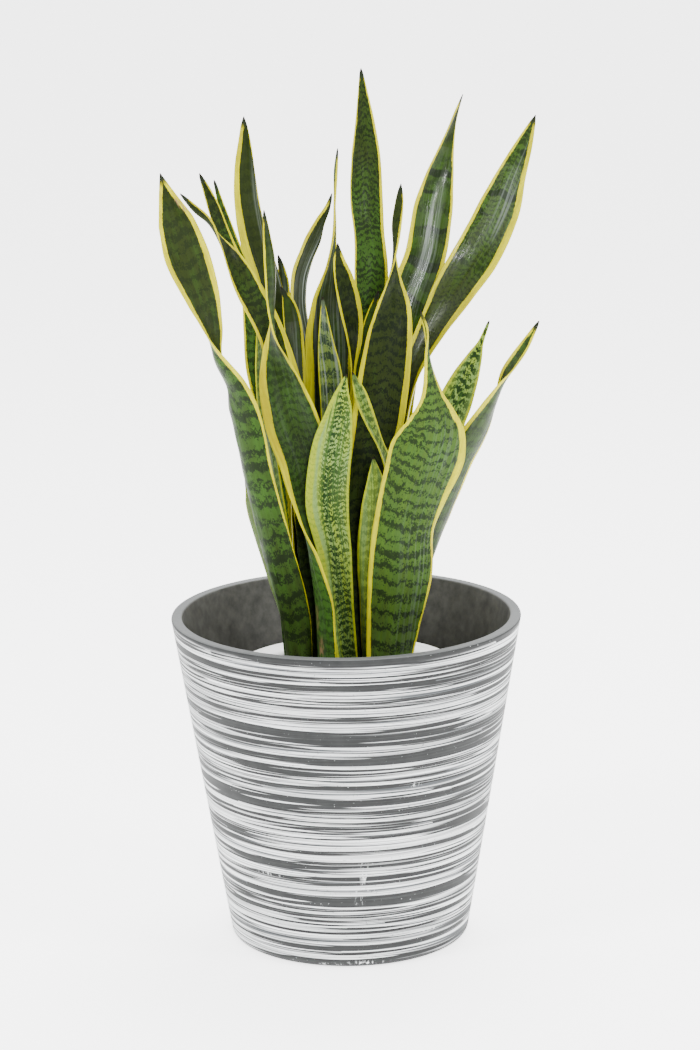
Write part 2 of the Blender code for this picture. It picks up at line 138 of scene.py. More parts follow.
# Grower's liner, in millimetres.
COLLAR_THICKNESS = 3.0
COLLAR_SKIRT = 9.0
COLLAR_OUTER_RADIUS = 98.0
COLLAR_DROP = 4.0
LINER_WALL = 2.6
LINER_MOUTH_RADIUS = 76.0
MOUTH_ROUND = 7.0
LINER_FOOT_RADIUS = 62.0
LINER_FLOOR = 3.0
LINER_ROUND = 3.0
EDGE_ROUND = 1.5
BEAD_ROUND = 1.2
BEAD_DROP = 0.7
LINER_TURNS = 160

# Soil, in millimetres, with the rings and turns of its mesh. Its loose crumbs keep clear of
# the leaves.
SOIL_TOP = 235.0
SOIL_MOUTH_RADIUS = 74.4
SOIL_FOOT_RADIUS = 58.8
SOIL_RINGS = 52
SOIL_TURNS = 150
CRUMBS = 420
CRUMB_SPREAD = 71.0
LEAF_CLEARANCE = 6.0

# Leaves, in millimetres: their roots, their thickness, which shrinks from the base to the blade
# and from its middle to its margins, their spikes, the ripple of their margins and the last
# stretch before the tip, where the yellow narrows.
ROOT_DEPTH = 20.0
LEAF_BASE_THICKNESS = 4.6
LEAF_BLADE_THICKNESS = 2.0
LEAF_MARGIN_SHARE = 0.42
LEAF_SPIKE_WIDTH = 0.7
LEAF_SPIKE_TAPER = 0.7
LEAF_THINNEST = 0.5
LEAF_THICKENING = 0.2
LEAF_RIPPLE = 0.9
RIPPLES_PER_MM = 0.045
LEAF_POINT = 9.0
POINT_SHRINK = 0.3
SEED_STEP = 7.31

# The stations of each blade from the soil to the tip, in millimetres and degrees:
# x, y, height above the soil, width round the blade, the direction that the inner face looks
# (0 is the front, 90 is +X), and how many degrees the blade's channel wraps.
LEAVES = {
    "leaf_far_left": [
        (-41, -36, 0, 27, 168, 160), (-47, -42, 67, 33, 160, 125), (-62, -50, 129, 34, 155, 105),
        (-75.5, -62, 191, 33, 150, 90), (-86, -73, 247, 36, 142, 80), (-93, -78, 270, 39, 122, 95),
        (-106, -84, 297, 35, 103, 125), (-110, -89, 324, 29, 62, 80), (-117, -95, 354, 34, 34, 55),
        (-127, -101, 385, 39, 20, 50), (-135, -107, 415, 32, 14, 45), (-140.5, -112, 435, 21, 12, 45),
        (-146.5, -118, 459, 3, 10, 45)],
    "leaf_front_left": [
        (-22, -31, 0, 46, 78, 205), (-24, -31, 66, 54, 76, 205), (-27, -29, 110, 55, 62, 178),
        (-27, -28, 149, 51, 34, 115), (-30, -30, 190, 50, 4, 75), (-44, -35, 235, 48, -2, 55),
        (-51, -39, 264, 41, -10, 50), (-56, -43, 294, 27, -40, 50), (-58, -46, 316, 19, -80, 60),
        (-58, -48, 340, 18, -112, 60), (-58.5, -51, 370, 16, -126, 60),
        (-61.5, -53, 397, 9, -132, 60), (-64, -55, 418, 2, -135, 60)],
    "leaf_pale_centre": [
        (2, -27, 0, 20, 8, 120), (-5, -29, 70, 26, 5, 100), (-9.5, -29.5, 118, 32, 3, 80),
        (-15, -36, 164, 39, 0, 65), (-11, -44, 207, 37, 0, 60), (-4, -52, 243, 25, 0, 60),
        (0, -57, 266, 12, 0, 60), (3, -60, 279, 2, 0, 60)],
    "leaf_front_broad": [
        (34, -46, 0, 38, 180, 90), (41, -50, 60, 50, 180, 70), (47, -56, 105, 57, 180, 55),
        (50, -62, 144, 54, 182, 55), (60, -70, 180, 60, 184, 45), (70, -77, 210, 66, 184, 40),
        (75, -81, 230, 57, 184, 40), (76, -85, 247, 40, 190, 45), (75, -88, 266, 21, 205, 50),
        (73, -91, 284, 14, 230, 60), (71, -94, 305, 11, 262, 80), (70, -96, 324, 9, 290, 60),
        (65, -97, 339, 2, 300, 50)],
    "leaf_low_pale": [
        (20, -24, 0, 20, 150, 120), (22, -27, 70, 26, 165, 80), (24, -31, 118, 30, 175, 60),
        (26, -35, 152, 26, 178, 55), (26.5, -38, 181, 15, 180, 50), (25, -41, 203, 2, 180, 50)],
    "leaf_pale_twist": [
        (30, -11, 0, 16, 0, 130), (36.5, -15, 90, 18, 0, 90), (40, -21, 160, 20, 20, 70),
        (38, -25, 187, 18, 58, 60), (31, -28, 208, 15, 74, 60), (22.5, -31, 231, 14, 50, 60),
        (15, -33, 254, 12, 20, 50), (8, -36, 276, 2, 10, 50)],
    "leaf_right_outer": [
        (44, -21, 0, 24, 195, 140), (55, -27, 70, 28, 195, 110), (68, -33, 122, 31, 198, 95),
        (85.5, -40, 167, 33, 202, 85), (101.5, -47, 204, 33, 208, 80), (116.5, -53, 229, 29, 218, 90),
        (128, -59, 253, 25, 242, 110), (136.5, -63, 273, 20, 270, 110),
        (145.5, -67, 290, 14, 300, 80), (154.5, -71, 306, 9, 318, 50), (164.5, -75, 325, 2, 325, 50)],
    "leaf_right_pale": [
        (45, 3, 0, 18, 15, 130), (60, 3, 110, 24, 10, 90), (82, 4, 200, 30, 0, 65),
        (95.5, 4, 238, 30, -5, 55), (105, 4, 261, 24, -5, 50), (114, 5, 281, 13, -5, 50),
        (119, 5, 293, 5, -5, 50), (126, 5, 311, 2, -5, 50)],
    "leaf_far_right": [
        (35, 15, 0, 22, -60, 140), (41, 19, 119, 26, -58, 110), (49, 25, 208, 28, -55, 90),
        (62.5, 33, 265, 28, -50, 75), (79.5, 41, 297, 32, -40, 60), (101, 51, 334, 39, -22, 45),
        (119, 58, 362, 41, -10, 42), (136, 66, 395, 38, -5, 42), (148.5, 73, 427, 26, 0, 42),
        (160, 79, 453, 15, 0, 42), (170, 84, 477, 2, 0, 42)],
    "leaf_right_tall": [
        (26, 28, 0, 24, 4, 140), (32, 36, 129, 34, 4, 100), (43, 46, 238, 40, 3, 70),
        (59, 58, 321, 40, 0, 55), (73.5, 64, 361, 37, 0, 50), (79, 69, 392, 36, 0, 50),
        (85, 73, 424, 27, 8, 55), (92, 77, 453, 16, 35, 60), (98.5, 80, 475, 10, 65, 60),
        (107, 83, 496, 2, 80, 60)],
    "leaf_tallest": [
        (7, 40, 0, 25, 0, 130), (10, 48, 139, 30, 0, 90), (18, 61, 258, 31, 0, 60),
        (26, 72, 346, 30, 0, 45), (24.5, 75, 376, 27, 0, 42), (22.5, 78, 406, 29, 0, 40),
        (22.5, 81, 441, 26, 0, 40), (22, 84, 470, 18, 0, 40), (20.5, 86, 498, 9, 0, 40),
        (19, 88, 519, 2, 0, 40)],
    "leaf_dark_twist": [
        (10, -2, 0, 22, 0, 140), (12.5, -5, 90, 28, 0, 110), (19, -7, 170, 40, 0, 80),
        (31.5, -4, 240, 47, 0, 60), (38.5, -2, 290, 43, 5, 55), (42.5, 0, 322, 34, 18, 55),
        (43, 2, 348, 22, 54, 60), (45, 3, 372, 14, 95, 70), (46.5, 4, 395, 13, 130, 55),
        (49.5, 5, 415, 9, 140, 55), (51.5, 6, 430, 2, 145, 55)],
    "leaf_small_dark": [
        (7, 23, 0, 13, 0, 130), (8.5, 25, 130, 14, 0, 90), (12, 29, 219, 14, 0, 70),
        (18, 34, 279, 14, 0, 60), (25, 38, 309, 10, 0, 60), (31.5, 40, 332, 2, 0, 60)],
    "leaf_centre_dark": [
        (-1, 10, 0, 16, 60, 130), (4, 11, 140, 17, 80, 80), (7, 13, 262, 18, 80, 60),
        (9, 15, 298, 20, 42, 50), (6.5, 16, 325, 20, 8, 50), (2, 16, 347, 17, 0, 50),
        (-2, 16, 364, 10, 0, 50), (-3, 16, 378, 2, 0, 50)],
    "leaf_centre_left": [
        (-12, 22, 0, 22, 0, 140), (-14, 24, 130, 30, 0, 100), (-13, 26, 230, 41, 0, 70),
        (-12, 27, 285, 42, 0, 60), (-13, 27, 325, 30, 12, 60), (-9.5, 27, 358, 16, 50, 60),
        (-6, 27, 388, 9, 80, 60), (-5, 27, 415, 7, 95, 40), (-4, 27, 440, 6, 120, 40),
        (-2, 27, 458, 2, 120, 40)],
    "leaf_centre_pale": [
        (-12, -7, 0, 17, 0, 130), (-11.5, -6, 140, 20, 0, 80), (-9, -4, 230, 22, 0, 65),
        (-11, -2, 268, 21, 0, 60), (-14, 0, 295, 14, 0, 60), (-16.5, 2, 334, 2, 0, 60)],
    "leaf_violet": [
        (-10, 46, 0, 20, 55, 130), (-20, 54, 149, 22, 55, 80), (-32, 66, 263, 24, 55, 60),
        (-40.5, 73, 322, 24, 54, 55), (-38, 75, 343, 24, 52, 55), (-32.5, 77, 358, 22, 50, 55),
        (-26, 79, 372, 20, 45, 55), (-19.5, 80, 386, 13, 45, 55), (-12, 82, 399, 7, 45, 55),
        (-7.5, 84, 411, 2, 45, 55)],
    "leaf_left_hook": [
        (-35, 18, 0, 17, 20, 130), (-39, 14, 140, 19, 20, 80), (-39.5, 14, 230, 19, 20, 65),
        (-41.5, 15, 285, 18, 10, 60), (-43, 16, 312, 16, 0, 60), (-47, 16, 330, 10, 0, 60),
        (-52.5, 16, 341, 2, 0, 60)],
    "leaf_left_small": [
        (-32, 46, 0, 14, 0, 130), (-44, 52, 169, 14, 0, 80), (-50.5, 58, 287, 13, 0, 60),
        (-51, 60, 333, 12, 0, 60), (-52, 61, 348, 7, 0, 60), (-55, 62, 361, 2, 0, 60)],
    "leaf_left_tall": [
        (-36, 32, 0, 22, 25, 140), (-43, 36, 149, 25, 30, 90), (-54, 43, 268, 27, 28, 65),
        (-67, 49, 343, 27, 25, 55), (-76, 51, 375, 26, 20, 50), (-81.5, 54, 408, 23, 15, 50),
        (-83, 56, 435, 19, 15, 50), (-82.5, 59, 459, 12, 15, 50), (-82.5, 61, 482, 3, 15, 50)],
    "leaf_left_spike": [
        (-25, 8, 0, 15, 10, 130), (-29, 6, 150, 16, 10, 80), (-43, 6, 255, 17, 5, 60),
        (-58, 8, 304, 17, 0, 50), (-72, 9, 336, 15, 0, 50), (-85, 10, 361, 13, 0, 50),
        (-98, 12, 399, 8, 0, 50), (-107.5, 14, 434, 2, 0, 50)],
    "leaf_left_green": [
        (-46, 3, 0, 17, 0, 130), (-54, 1, 110, 17, 0, 90), (-66.5, -1, 235, 18, 0, 70),
        (-74, -1, 270, 18, 0, 60), (-77, -1, 308, 16, 0, 60), (-79, -2, 334, 14, 0, 60),
        (-85, -3, 356, 14, 0, 60), (-94, -4, 376, 13, 0, 60), (-102, -5, 397, 12, 0, 60),
        (-107, -6, 412, 11, 0, 60), (-112, -7, 426, 8, 0, 60), (-119, -8, 443, 2, 0, 60)],
    "leaf_left_thin": [
        (-29, -9, 0, 17, 0, 140), (-33, -9, 140, 22, 0, 90), (-46, -12, 241, 23, 0, 65),
        (-61, -17, 308, 24, 0, 55), (-78, -21, 343, 23, 10, 50), (-92, -25, 371, 19, 45, 50),
        (-101.5, -28, 387, 14, 82, 60), (-112, -31, 406, 11, 120, 50), (-123, -33, 417, 8, 135, 50),
        (-134.5, -35, 430, 2, 140, 50)],
    "leaf_left_inner": [
        (-44, -11, 0, 13, 0, 130), (-53, -14, 120, 14, 0, 90), (-66, -14, 220, 13, 0, 70),
        (-70, -13, 270, 10, 0, 60), (-72, -13, 316, 2, 0, 60)],
    "leaf_left_low": [
        (-41, -24, 0, 14, 165, 130), (-48, -26, 50, 17, 165, 110), (-61, -28.5, 99, 20, 165, 90),
        (-73, -32, 147, 21, 170, 70), (-79, -35, 171, 15, 170, 60), (-85, -38, 187, 2, 170, 60)],
}

# How each leaf is marked: brightness (0 to 1, and below 0 on the darkest) and strength of the
# bands (0 to 1) on its inner face and on its outer face, paleness (0 to 1), painted grey sheen
# (0 to 1), which stands in for the wax's gloss, gap between the dark bands at the base and at the tip
# in millimetres, how far the bands rise towards the middle in millimetres for each one across, and
# the yellow margins' widths in millimetres at six even steps from base to tip, first on the left edge
# as its inner face is seen, then on the right. Where a width is below 0, there is no yellow.
MARKINGS = {
    "leaf_far_left": ((0.02, 0.55), (0.5, 0.85), 0.0, 0.0, (20.0, 12.0), -0.1,
                      (1.2, 1.2, 1.6, 3.4, 4.8, 2.5), (-1.5, -1.5, -0.5, 0.8, 5.5, 3.0)),
    "leaf_front_left": ((0.4, 0.65), (0.75, 0.6), 0.0, 0.05, (9.0, 7.0), 0.2,
                        (0.6, 2.0, 5.5, 8.0, 2.5, 1.5), (2.0, 2.0, 2.5, 3.0, 1.8, 1.0)),
    "leaf_pale_centre": ((0.45, 1.0), (0.6, 0.95), 1.0, 0.0, (6.5, 4.6), -0.1,
                         (2.0, 3.5, 6.0, 6.5, 5.0, 2.0), (0.8, 1.5, 2.0, 2.2, 2.0, 1.5)),
    "leaf_front_broad": ((0.6, 1.0), (0.6, 0.88), 0.08, 0.12, (17.0, 5.5), -0.12,
                         (2.5, 2.0, 2.5, 7.5, 3.5, 2.0), (5.0, 5.0, 4.6, 3.6, 3.0, 2.0)),
    "leaf_low_pale": ((0.55, 0.5), (0.55, 0.5), 0.75, 0.0, (12.0, 9.0), 0.0,
                      (2.5, 3.0, 3.0, 3.0, 2.0, 1.0), (2.5, 3.0, 3.0, 3.0, 2.0, 1.0)),
    "leaf_pale_twist": ((0.5, 0.8), (0.5, 0.8), 0.6, 0.0, (9.0, 7.0), 0.0,
                        (2.0, 2.5, 2.8, 2.8, 2.0, 1.0), (2.0, 2.5, 2.8, 2.8, 2.0, 1.0)),
    "leaf_right_outer": ((0.35, 0.6), (0.3, 0.65), 0.0, 0.03, (18.0, 12.0), 0.0,
                         (1.0, 1.0, 2.0, 5.5, 4.0, 1.5), (2.0, 2.5, 3.5, 4.2, 3.0, 1.5)),
    "leaf_right_pale": ((0.55, 1.0), (0.5, 1.0), 0.75, 0.0, (11.0, 8.0), 0.0,
                        (3.0, 3.5, 3.5, 3.5, 2.5, 0.5), (2.0, 2.2, 2.4, 2.4, 2.0, 0.5)),
    "leaf_far_right": ((0.36, 0.72), (0.4, 0.6), 0.04, 0.8, (6.5, 5.0), 0.25,
                       (3.0, 3.5, 3.8, 3.5, 2.8, 1.5), (1.0, 1.5, 3.0, 6.5, 6.0, 2.5)),
    "leaf_right_tall": ((0.36, 0.6), (0.3, 0.7), 0.0, 0.7, (26.0, 20.0), 0.0,
                        (4.0, 5.0, 6.0, 6.0, 3.0, 0.5), (4.0, 4.5, 5.0, 5.0, 2.4, 0.8)),
    "leaf_tallest": ((0.64, 0.85), (0.5, 0.6), 0.0, 0.0, (7.5, 5.5), 0.5,
                     (1.5, 1.5, 1.4, 1.2, 1.2, 0.8), (3.0, 3.2, 3.2, 2.8, 2.4, 1.0)),
    "leaf_dark_twist": ((-0.05, 1.0), (0.1, 0.5), 0.0, 0.0, (11.0, 9.0), 0.3,
                        (3.0, 3.5, 4.0, 4.0, 2.2, 1.0), (4.0, 5.0, 5.5, 5.5, 2.8, 1.0)),
    "leaf_small_dark": ((0.3, 0.4), (0.3, 0.4), 0.0, 0.0, (10.0, 8.0), 0.0,
                        (1.3, 1.4, 1.5, 1.5, 1.2, 0.6), (1.3, 1.4, 1.5, 1.5, 1.2, 0.6)),
    "leaf_centre_dark": ((0.0, 0.9), (0.2, 0.5), 0.0, 0.0, (12.0, 9.0), 0.2,
                         (2.5, 2.5, 2.5, 2.2, 1.8, 1.0), (5.0, 5.0, 6.0, 6.5, 4.5, 2.0)),
    "leaf_centre_left": ((0.06, 0.4), (0.3, 0.4), 0.0, 0.2, (12.0, 10.0), 0.0,
                         (4.0, 6.0, 8.0, 7.5, 2.5, 1.2), (2.5, 3.0, 3.0, 3.0, 2.0, 1.0)),
    "leaf_centre_pale": ((0.1, 1.0), (0.2, 1.0), 0.38, 0.45, (16.0, 13.0), 0.0,
                         (1.0, 1.0, 1.2, 1.2, 1.0, 0.5), (1.5, 2.0, 2.2, 2.0, 1.0, 0.5)),
    "leaf_violet": ((-0.3, 0.25), (0.3, 0.3), 0.0, 0.7, (12.0, 10.0), 0.0,
                    (4.0, 6.0, 8.0, 9.5, 6.0, 2.0), (0.4, 0.4, 0.4, 0.4, 0.4, 0.3)),
    "leaf_left_hook": ((0.1, 0.25), (0.35, 0.3), 0.0, 0.3, (10.0, 8.0), 0.0,
                       (0.8, 0.8, 0.8, 0.8, 0.7, 0.5), (4.0, 4.5, 5.0, 5.0, 3.0, 1.0)),
    "leaf_left_small": ((0.1, 0.4), (0.3, 0.4), 0.0, 0.2, (10.0, 8.0), 0.0,
                        (0.8, 0.8, 0.8, 0.8, 0.6, 0.4), (2.0, 2.4, 2.6, 2.6, 1.6, 0.6)),
    "leaf_left_tall": ((0.06, 0.4), (0.3, 0.4), 0.0, 0.4, (13.0, 10.0), 0.1,
                       (4.0, 5.0, 7.5, 9.0, 7.5, 2.5), (0.4, 0.4, 0.4, 0.4, 0.4, 0.3)),
    "leaf_left_spike": ((0.5, 0.7), (0.4, 0.6), 0.0, 0.0, (9.0, 8.0), 0.0,
                        (1.5, 1.8, 2.0, 2.0, 1.0, 0.4), (1.5, 1.8, 2.0, 2.2, 1.2, 0.4)),
    "leaf_left_green": ((0.62, 0.75), (0.4, 0.6), 0.0, 0.0, (9.0, 8.0), 0.0,
                        (-2.0, -2.0, 1.0, 2.0, 1.2, 0.4), (-2.0, -2.0, 1.0, 2.4, 1.6, 0.5)),
    "leaf_left_thin": ((0.14, 0.8), (0.3, 0.6), 0.0, 0.0, (10.0, 7.0), 0.0,
                       (-2.0, -1.5, 1.2, 3.0, 1.8, 0.6), (-2.0, -1.0, 3.6, 4.4, 2.0, 0.6)),
    "leaf_left_inner": ((0.2, 0.6), (0.2, 0.6), 0.5, 0.4, (9.0, 8.0), 0.0,
                        (-2.0, -1.5, 0.3, 1.2, 1.0, 0.5), (-2.0, -1.5, 0.3, 1.2, 1.0, 0.5)),
    "leaf_left_low": ((0.45, 0.3), (0.45, 0.3), 0.3, 0.2, (12.0, 9.0), 0.0,
                      (-1.5, -1.5, 0.0, 0.8, 1.0, 0.5), (-1.5, -1.5, 0.0, 0.8, 1.0, 0.5)),
}

# The shares of a leaf's length at which its margins' widths are set.
MARGIN_STEPS = (0.0, 0.2, 0.4, 0.6, 0.8, 1.0)

# Roughness of the leaves with the clearest gloss, roughness of all the others, and the share of a
# polished leaf's length where its dull tip starts.
GLOSSY = {"leaf_right_tall": 0.17, "leaf_far_right": 0.2, "leaf_left_hook": 0.26,
          "leaf_right_outer": 0.28, "leaf_left_low": 0.26}
PLAIN_ROUGHNESS = 0.36
TIP_SHARE = 0.9

# Where the painted grey sheen lies on a leaf that it doesn't cover: the shares of the leaf's length
# where it starts and ends, the middle of its strip across the blade (-1 to 1) and half of its width.
# On any other leaf it covers the whole blade.
PAINTED_SHEEN_STRIPS = {"leaf_far_right": (0.76, 0.97, 0.3, 0.45), "leaf_right_tall": (0.6, 0.86, 0.1, 0.4),
                "leaf_left_tall": (0.45, 0.95, 0.95, 0.4), "leaf_violet": (-1.0, 0.95, 0.7, 0.5),
                "leaf_left_hook": (-1.0, 0.95, 0.5, 0.6), "leaf_front_broad": (-1.0, 0.8, -0.5, 0.7)}
WHOLE_BLADE = (-1.0, 2.0, 0.0, 9.0)

# Leaves painted darker towards one end: towards the base this is painted shade among the crowded
# leaves, towards the tip partly a deeper green and partly painted shade. The shares of the length where
# it starts and where it is complete, and by how much. No other leaf is darkened.
DARKENING_AND_SHADE = {
    "leaf_front_left": (0.7, 0.8, 0.65), "leaf_tallest": (0.7, 0.85, 0.5),
    "leaf_left_thin": (0.8, 0.9, 0.3), "leaf_dark_twist": (0.62, 0.72, 0.3),
    "leaf_centre_dark": (0.75, 0.85, 0.35), "leaf_right_tall": (0.88, 0.98, 0.8),
    "leaf_far_right": (0.79, 0.6, 0.42), "leaf_front_broad": (0.35, 0.1, 0.25),
    "leaf_far_left": (0.3, 0.05, 0.3), "leaf_left_green": (0.84, 0.93, 0.6),
    "leaf_left_tall": (0.65, 0.9, 0.3),
}
NOT_DARKENED = (0.0, 1.0, 0.0)

# Single dark bands: leaf, height above the soil, half thickness in millimetres, and the middle and
# half of its span across the blade (-1 to 1).
DARK_BANDS = [
    ("leaf_far_right", 409.0, 3.4, 0.1, 1.2), ("leaf_far_right", 447.0, 3.5, 0.6, 0.7),
    ("leaf_far_right", 391.0, 2.5, -0.8, 0.5), ("leaf_far_right", 352.0, 2.2, -0.6, 0.5),
    ("leaf_right_tall", 430.0, 3.4, 0.0, 1.2), ("leaf_right_tall", 414.0, 2.0, -0.5, 0.6),
    ("leaf_right_tall", 381.0, 2.6, 0.3, 0.8), ("leaf_right_tall", 352.0, 4.6, 0.0, 1.2),
    ("leaf_right_tall", 322.0, 3.0, -0.3, 0.9),
]

# Where across a leaf (-1 to 1) its flecks start, on one that stays plain to the left of them.
PLAIN_SIDES = {"leaf_pale_centre": -0.4}

# Healed scars: leaf, face (0 inner, 1 outer), height above the soil and place across the blade
# (-1 to 1) where the scar starts and where it ends, and its half width in millimetres.
SCARS = [
    ("leaf_front_left", 1, (70.0, -0.30), (30.0, -0.50), 1.3),
    ("leaf_far_left", 0, (434.0, 0.70), (424.0, 0.88), 1.5),
]

# The numbers that a leaf's material reads at each point of its mesh.
LEAF_NUMBERS = ("across_mm", "along_mm", "margin_mm", "tip_mm", "tone", "contrast", "gap_mm", "cycles",
                "peak_mm", "middle", "scar", "bloom", "pale", "rough", "solid_mm", "seed")

# Camera, read from the planter's ellipses in the photograph.
CAMERA_PLACE = (0.0044, -3.058, 1.110)
CAMERA_AIM = (0.0044, 0.0, 0.3686)
CAMERA_LENS_MM = 124.4
CAMERA_ROLL_DEGREES = -0.75

# The floor and where the lights look, in metres.
FLOOR_REACH = 14.0
FLOOR_LEVEL = -0.0002
LIGHTS_AIM = (0.0, 0.0, 0.35)

# Kinds of nodes that the materials use most, and the property that a kind's second word sets.
TIMES, PLUS, MINUS, OVER = "Math MULTIPLY", "Math ADD", "Math SUBTRACT", "Math DIVIDE"
TIMES_PLUS, LARGER = "Math MULTIPLY_ADD", "Math MAXIMUM"
RAMP, BLEND = "MapRange SMOOTHSTEP", "Mix RGBA"
MODES = {"Math": "operation", "VectorMath": "operation", "Mix": "data_type",
         "MapRange": "interpolation_type", "Attribute": "attribute_name"}


def linear(hex_colour):
    """An sRGB hex colour as the linear RGB that Blender's shaders take."""
    channels = [int(hex_colour[start:start + 2], 16) / 255 for start in (1, 3, 5)]
    return tuple(c / 12.92 if c <= 0.04045 else ((c + 0.055) / 1.055) ** 2.4 for c in channels)


def clamp(value):
    """Hold a number between 0 and 1."""
    return min(1.0, max(0.0, value))


def add(tree, kind, *values, output=None, **settings):
    """Add a node with its settings and links, and return one of its outputs.

    The kind's second word is its mode. Values fill the open inputs in order, and settings go to
    the inputs or the properties of those names.
    """
    kind, _, mode = kind.partition(" ")
    made = tree.nodes.new("ShaderNode" + kind)
    if mode:
        setattr(made, MODES[kind], mode)
    filled = list(zip([socket for socket in made.inputs if socket.enabled], values))
    for name, value in settings.items():
        socket = made.inputs.get(name.replace("_", " "))
        if socket:
            filled.append((socket, value))
        else:
            setattr(made, name, value)
    for socket, value in filled:
        if isinstance(value, bpy.types.NodeSocket):
            tree.links.new(value, socket)
        else:
            socket.default_value = (*value, 1.0) if socket.type == "RGBA" else value
    if output:
        return made.outputs[output]
    return next((socket for socket in made.outputs if socket.enabled), None)


def new_material(name):
    """An empty material, and the function that adds nodes to it."""
    look = bpy.data.materials.new(name)
    look.use_nodes = True
    look.node_tree.nodes.clear()
    return look, partial(add, look.node_tree)


def finished(look, swatch, **settings):
    """Give a material its shader with those settings, and a swatch in the viewport."""
    shader = add(look.node_tree, "BsdfPrincipled", **settings)
    add(look.node_tree, "OutputMaterial", Surface=shader)
    look.diffuse_color = (*swatch, 1.0)
    return look


def layered(node, colour, *layers):
    """Lay further colours over one, each with the share that it covers."""
    for share, over in layers:
        colour = node(BLEND, share, colour, over)
    return colour


def scale_for(size_mm):
    """The scale at which a pattern in metres has a grain of that many millimetres."""
    return 1.0 / (size_mm * MM)


def stretched(node, place, sizes_mm, detail, roughness=0.5):
    """Noise whose grain is that many millimetres along each axis of a place in metres."""
    scaled = node("VectorMath MULTIPLY", place, [scale_for(size) for size in sizes_mm])
    return node("TexNoise", scaled, 1.0, detail, roughness)


def mesh_piece(name, points, faces, materials, smooth=True):
    """A mesh object in the scene from points in metres and faces as lists of point numbers."""
    mesh = bpy.data.meshes.new(name)
    mesh.from_pydata(points, [], faces)
    mesh.validate()
    if smooth:
        mesh.shade_smooth()
    for material in materials:
        mesh.materials.append(material)
    obj = bpy.data.objects.new(name, mesh)
    bpy.context.scene.collection.objects.link(obj)
    return obj


def mark(mesh, name, values):
    """Store one number for each point, which the material reads by name."""
    layer = mesh.attributes.new(name, "FLOAT", "POINT")
    layer.data.foreach_set("value", np.asarray(values, np.float32))


def arc(centre, radius, start, end, steps):
    """Points of a round stretch in a profile, with its angles in degrees from +X."""
    angles = [math.radians(start + (end - start) * step / steps) for step in range(steps + 1)]
    return [(centre[0] + radius * math.cos(angle), centre[1] + radius * math.sin(angle))
            for angle in angles]


def divided(start, end, step):
    """Points along a straight stretch of a profile, without its two ends."""
    count = max(1, round(math.dist(start, end) / step))
    return [(start[0] + (end[0] - start[0]) * k / count, start[1] + (end[1] - start[1]) * k / count)
            for k in range(1, count)]


def turned(profile, turns):
    """Points and faces of a turned piece.

    Its profile starts on the axis, runs down the outer side and ends on the axis again.
    """
    rows = profile[1:-1]
    angles = [math.tau * turn / turns for turn in range(turns)]
    points = [(radius * math.cos(angle) * MM, radius * math.sin(angle) * MM, height * MM)
              for radius, height in rows for angle in angles]
    first, last, base = len(points), len(points) + 1, (len(rows) - 1) * turns
    points += [(0.0, 0.0, profile[0][1] * MM), (0.0, 0.0, profile[-1][1] * MM)]
    sides = [(turn, (turn + 1) % turns) for turn in range(turns)]
    faces = [(row + turn, row + turns + turn, row + turns + onward, row + onward)
             for row in range(0, base, turns) for turn, onward in sides]
    for turn, onward in sides:
        faces += [(first, turn, onward), (last, base + onward, base + turn)]
    return points, faces


def colour_setting(name, description, hex_colour):
    """A colour that the panel shows."""
    return FloatVectorProperty(name=name, description=description, default=linear(hex_colour),
                               min=0.0, max=1.0, subtype="COLOR")


def light_setting(name, description, default, unit="NONE"):
    """A power or a brightness that the panel shows."""
    return FloatProperty(name=name, description=description, default=default, min=0.0, unit=unit)


class PlanterSettings(bpy.types.PropertyGroup):
    """Sizes and colours of the planter and its liner."""

    height: FloatProperty(
        name="Height", description="Height of the planter", default=PLANTER_HIGH.z,
        min=0.1, unit="LENGTH", subtype="DISTANCE")
    rim_radius: FloatProperty(
        name="Rim radius", description="Outer radius of the planter at its lip",
        default=PLANTER_HIGH.x, min=0.05, unit="LENGTH", subtype="DISTANCE")
    base_colour: colour_setting("Resin", "Bare resin between the brushed strokes", "#2d2e2e")
    stroke_colour: colour_setting("Strokes", "White wash that is brushed round the planter", "#d1d3d3")
    thin_stroke_colour: colour_setting(
        "Thin strokes", "The same wash where the brush ran dry", "#505355")
    inside_colour: colour_setting("Inside", "Unpainted resin inside the planter", "#484844")
    liner_colour: colour_setting("Liner", "Moulded plastic of the grower's liner", "#f6f6f4")
    turns: IntProperty(
        name="Turns", description="Facets round the planter", default=224, min=32, max=512)


class LeafSettings(bpy.types.PropertyGroup):
    """Fineness and colours of the leaves."""

    sections: IntProperty(
        name="Sections", description="Cross sections along each leaf", default=150, min=20, max=300)
    strips: IntProperty(
        name="Strips", description="Strips across each face of a leaf", default=16, min=4, max=40)
    margin_colour: colour_setting("Margin", "Yellow edge of the leaves", "#a39c00")
    light_colour: colour_setting(
        "Light green", "Green between the dark bands on a bright leaf", "#33541b")
    deep_colour: colour_setting("Deep green", "Green between the dark bands on a dark leaf", "#232c0f")
    band_colour: colour_setting("Bands", "Dark cross bands", "#121a0c")
    pale_colour: colour_setting("Pale green", "Silvery green of the palest leaves", "#728c4a")
    tip_colour: colour_setting("Tips", "Dried spine at each leaf's tip", "#1e1a14")


class StageSettings(bpy.types.PropertyGroup):
    """Light and floor of the studio."""

    key_power: light_setting("Key light", "Power of the soft light at the front left", 70.0, "POWER")
    fill_power: light_setting("Fill light", "Power of the soft light at the front right", 56.0, "POWER")
    top_power: light_setting(
        "Top light", "Power of the wide soft light above and behind", 70.0, "POWER")
    strip_power: light_setting(
        "Strip lights", "Power of each narrow light that draws the leaves' gloss", 20.0, "POWER")
    front_sky: light_setting("Room in front", "Brightness of the room in front of the plant", 0.5)
    back_sky: light_setting("Room behind", "Brightness of the white room behind the plant", 2.4)
    floor_glow: light_setting(
        "Floor glow", "Light that comes through the paper beside and behind the plant", 2.8)
    floor_colour: colour_setting("Floor", "Pale paper floor", "#fafafa")


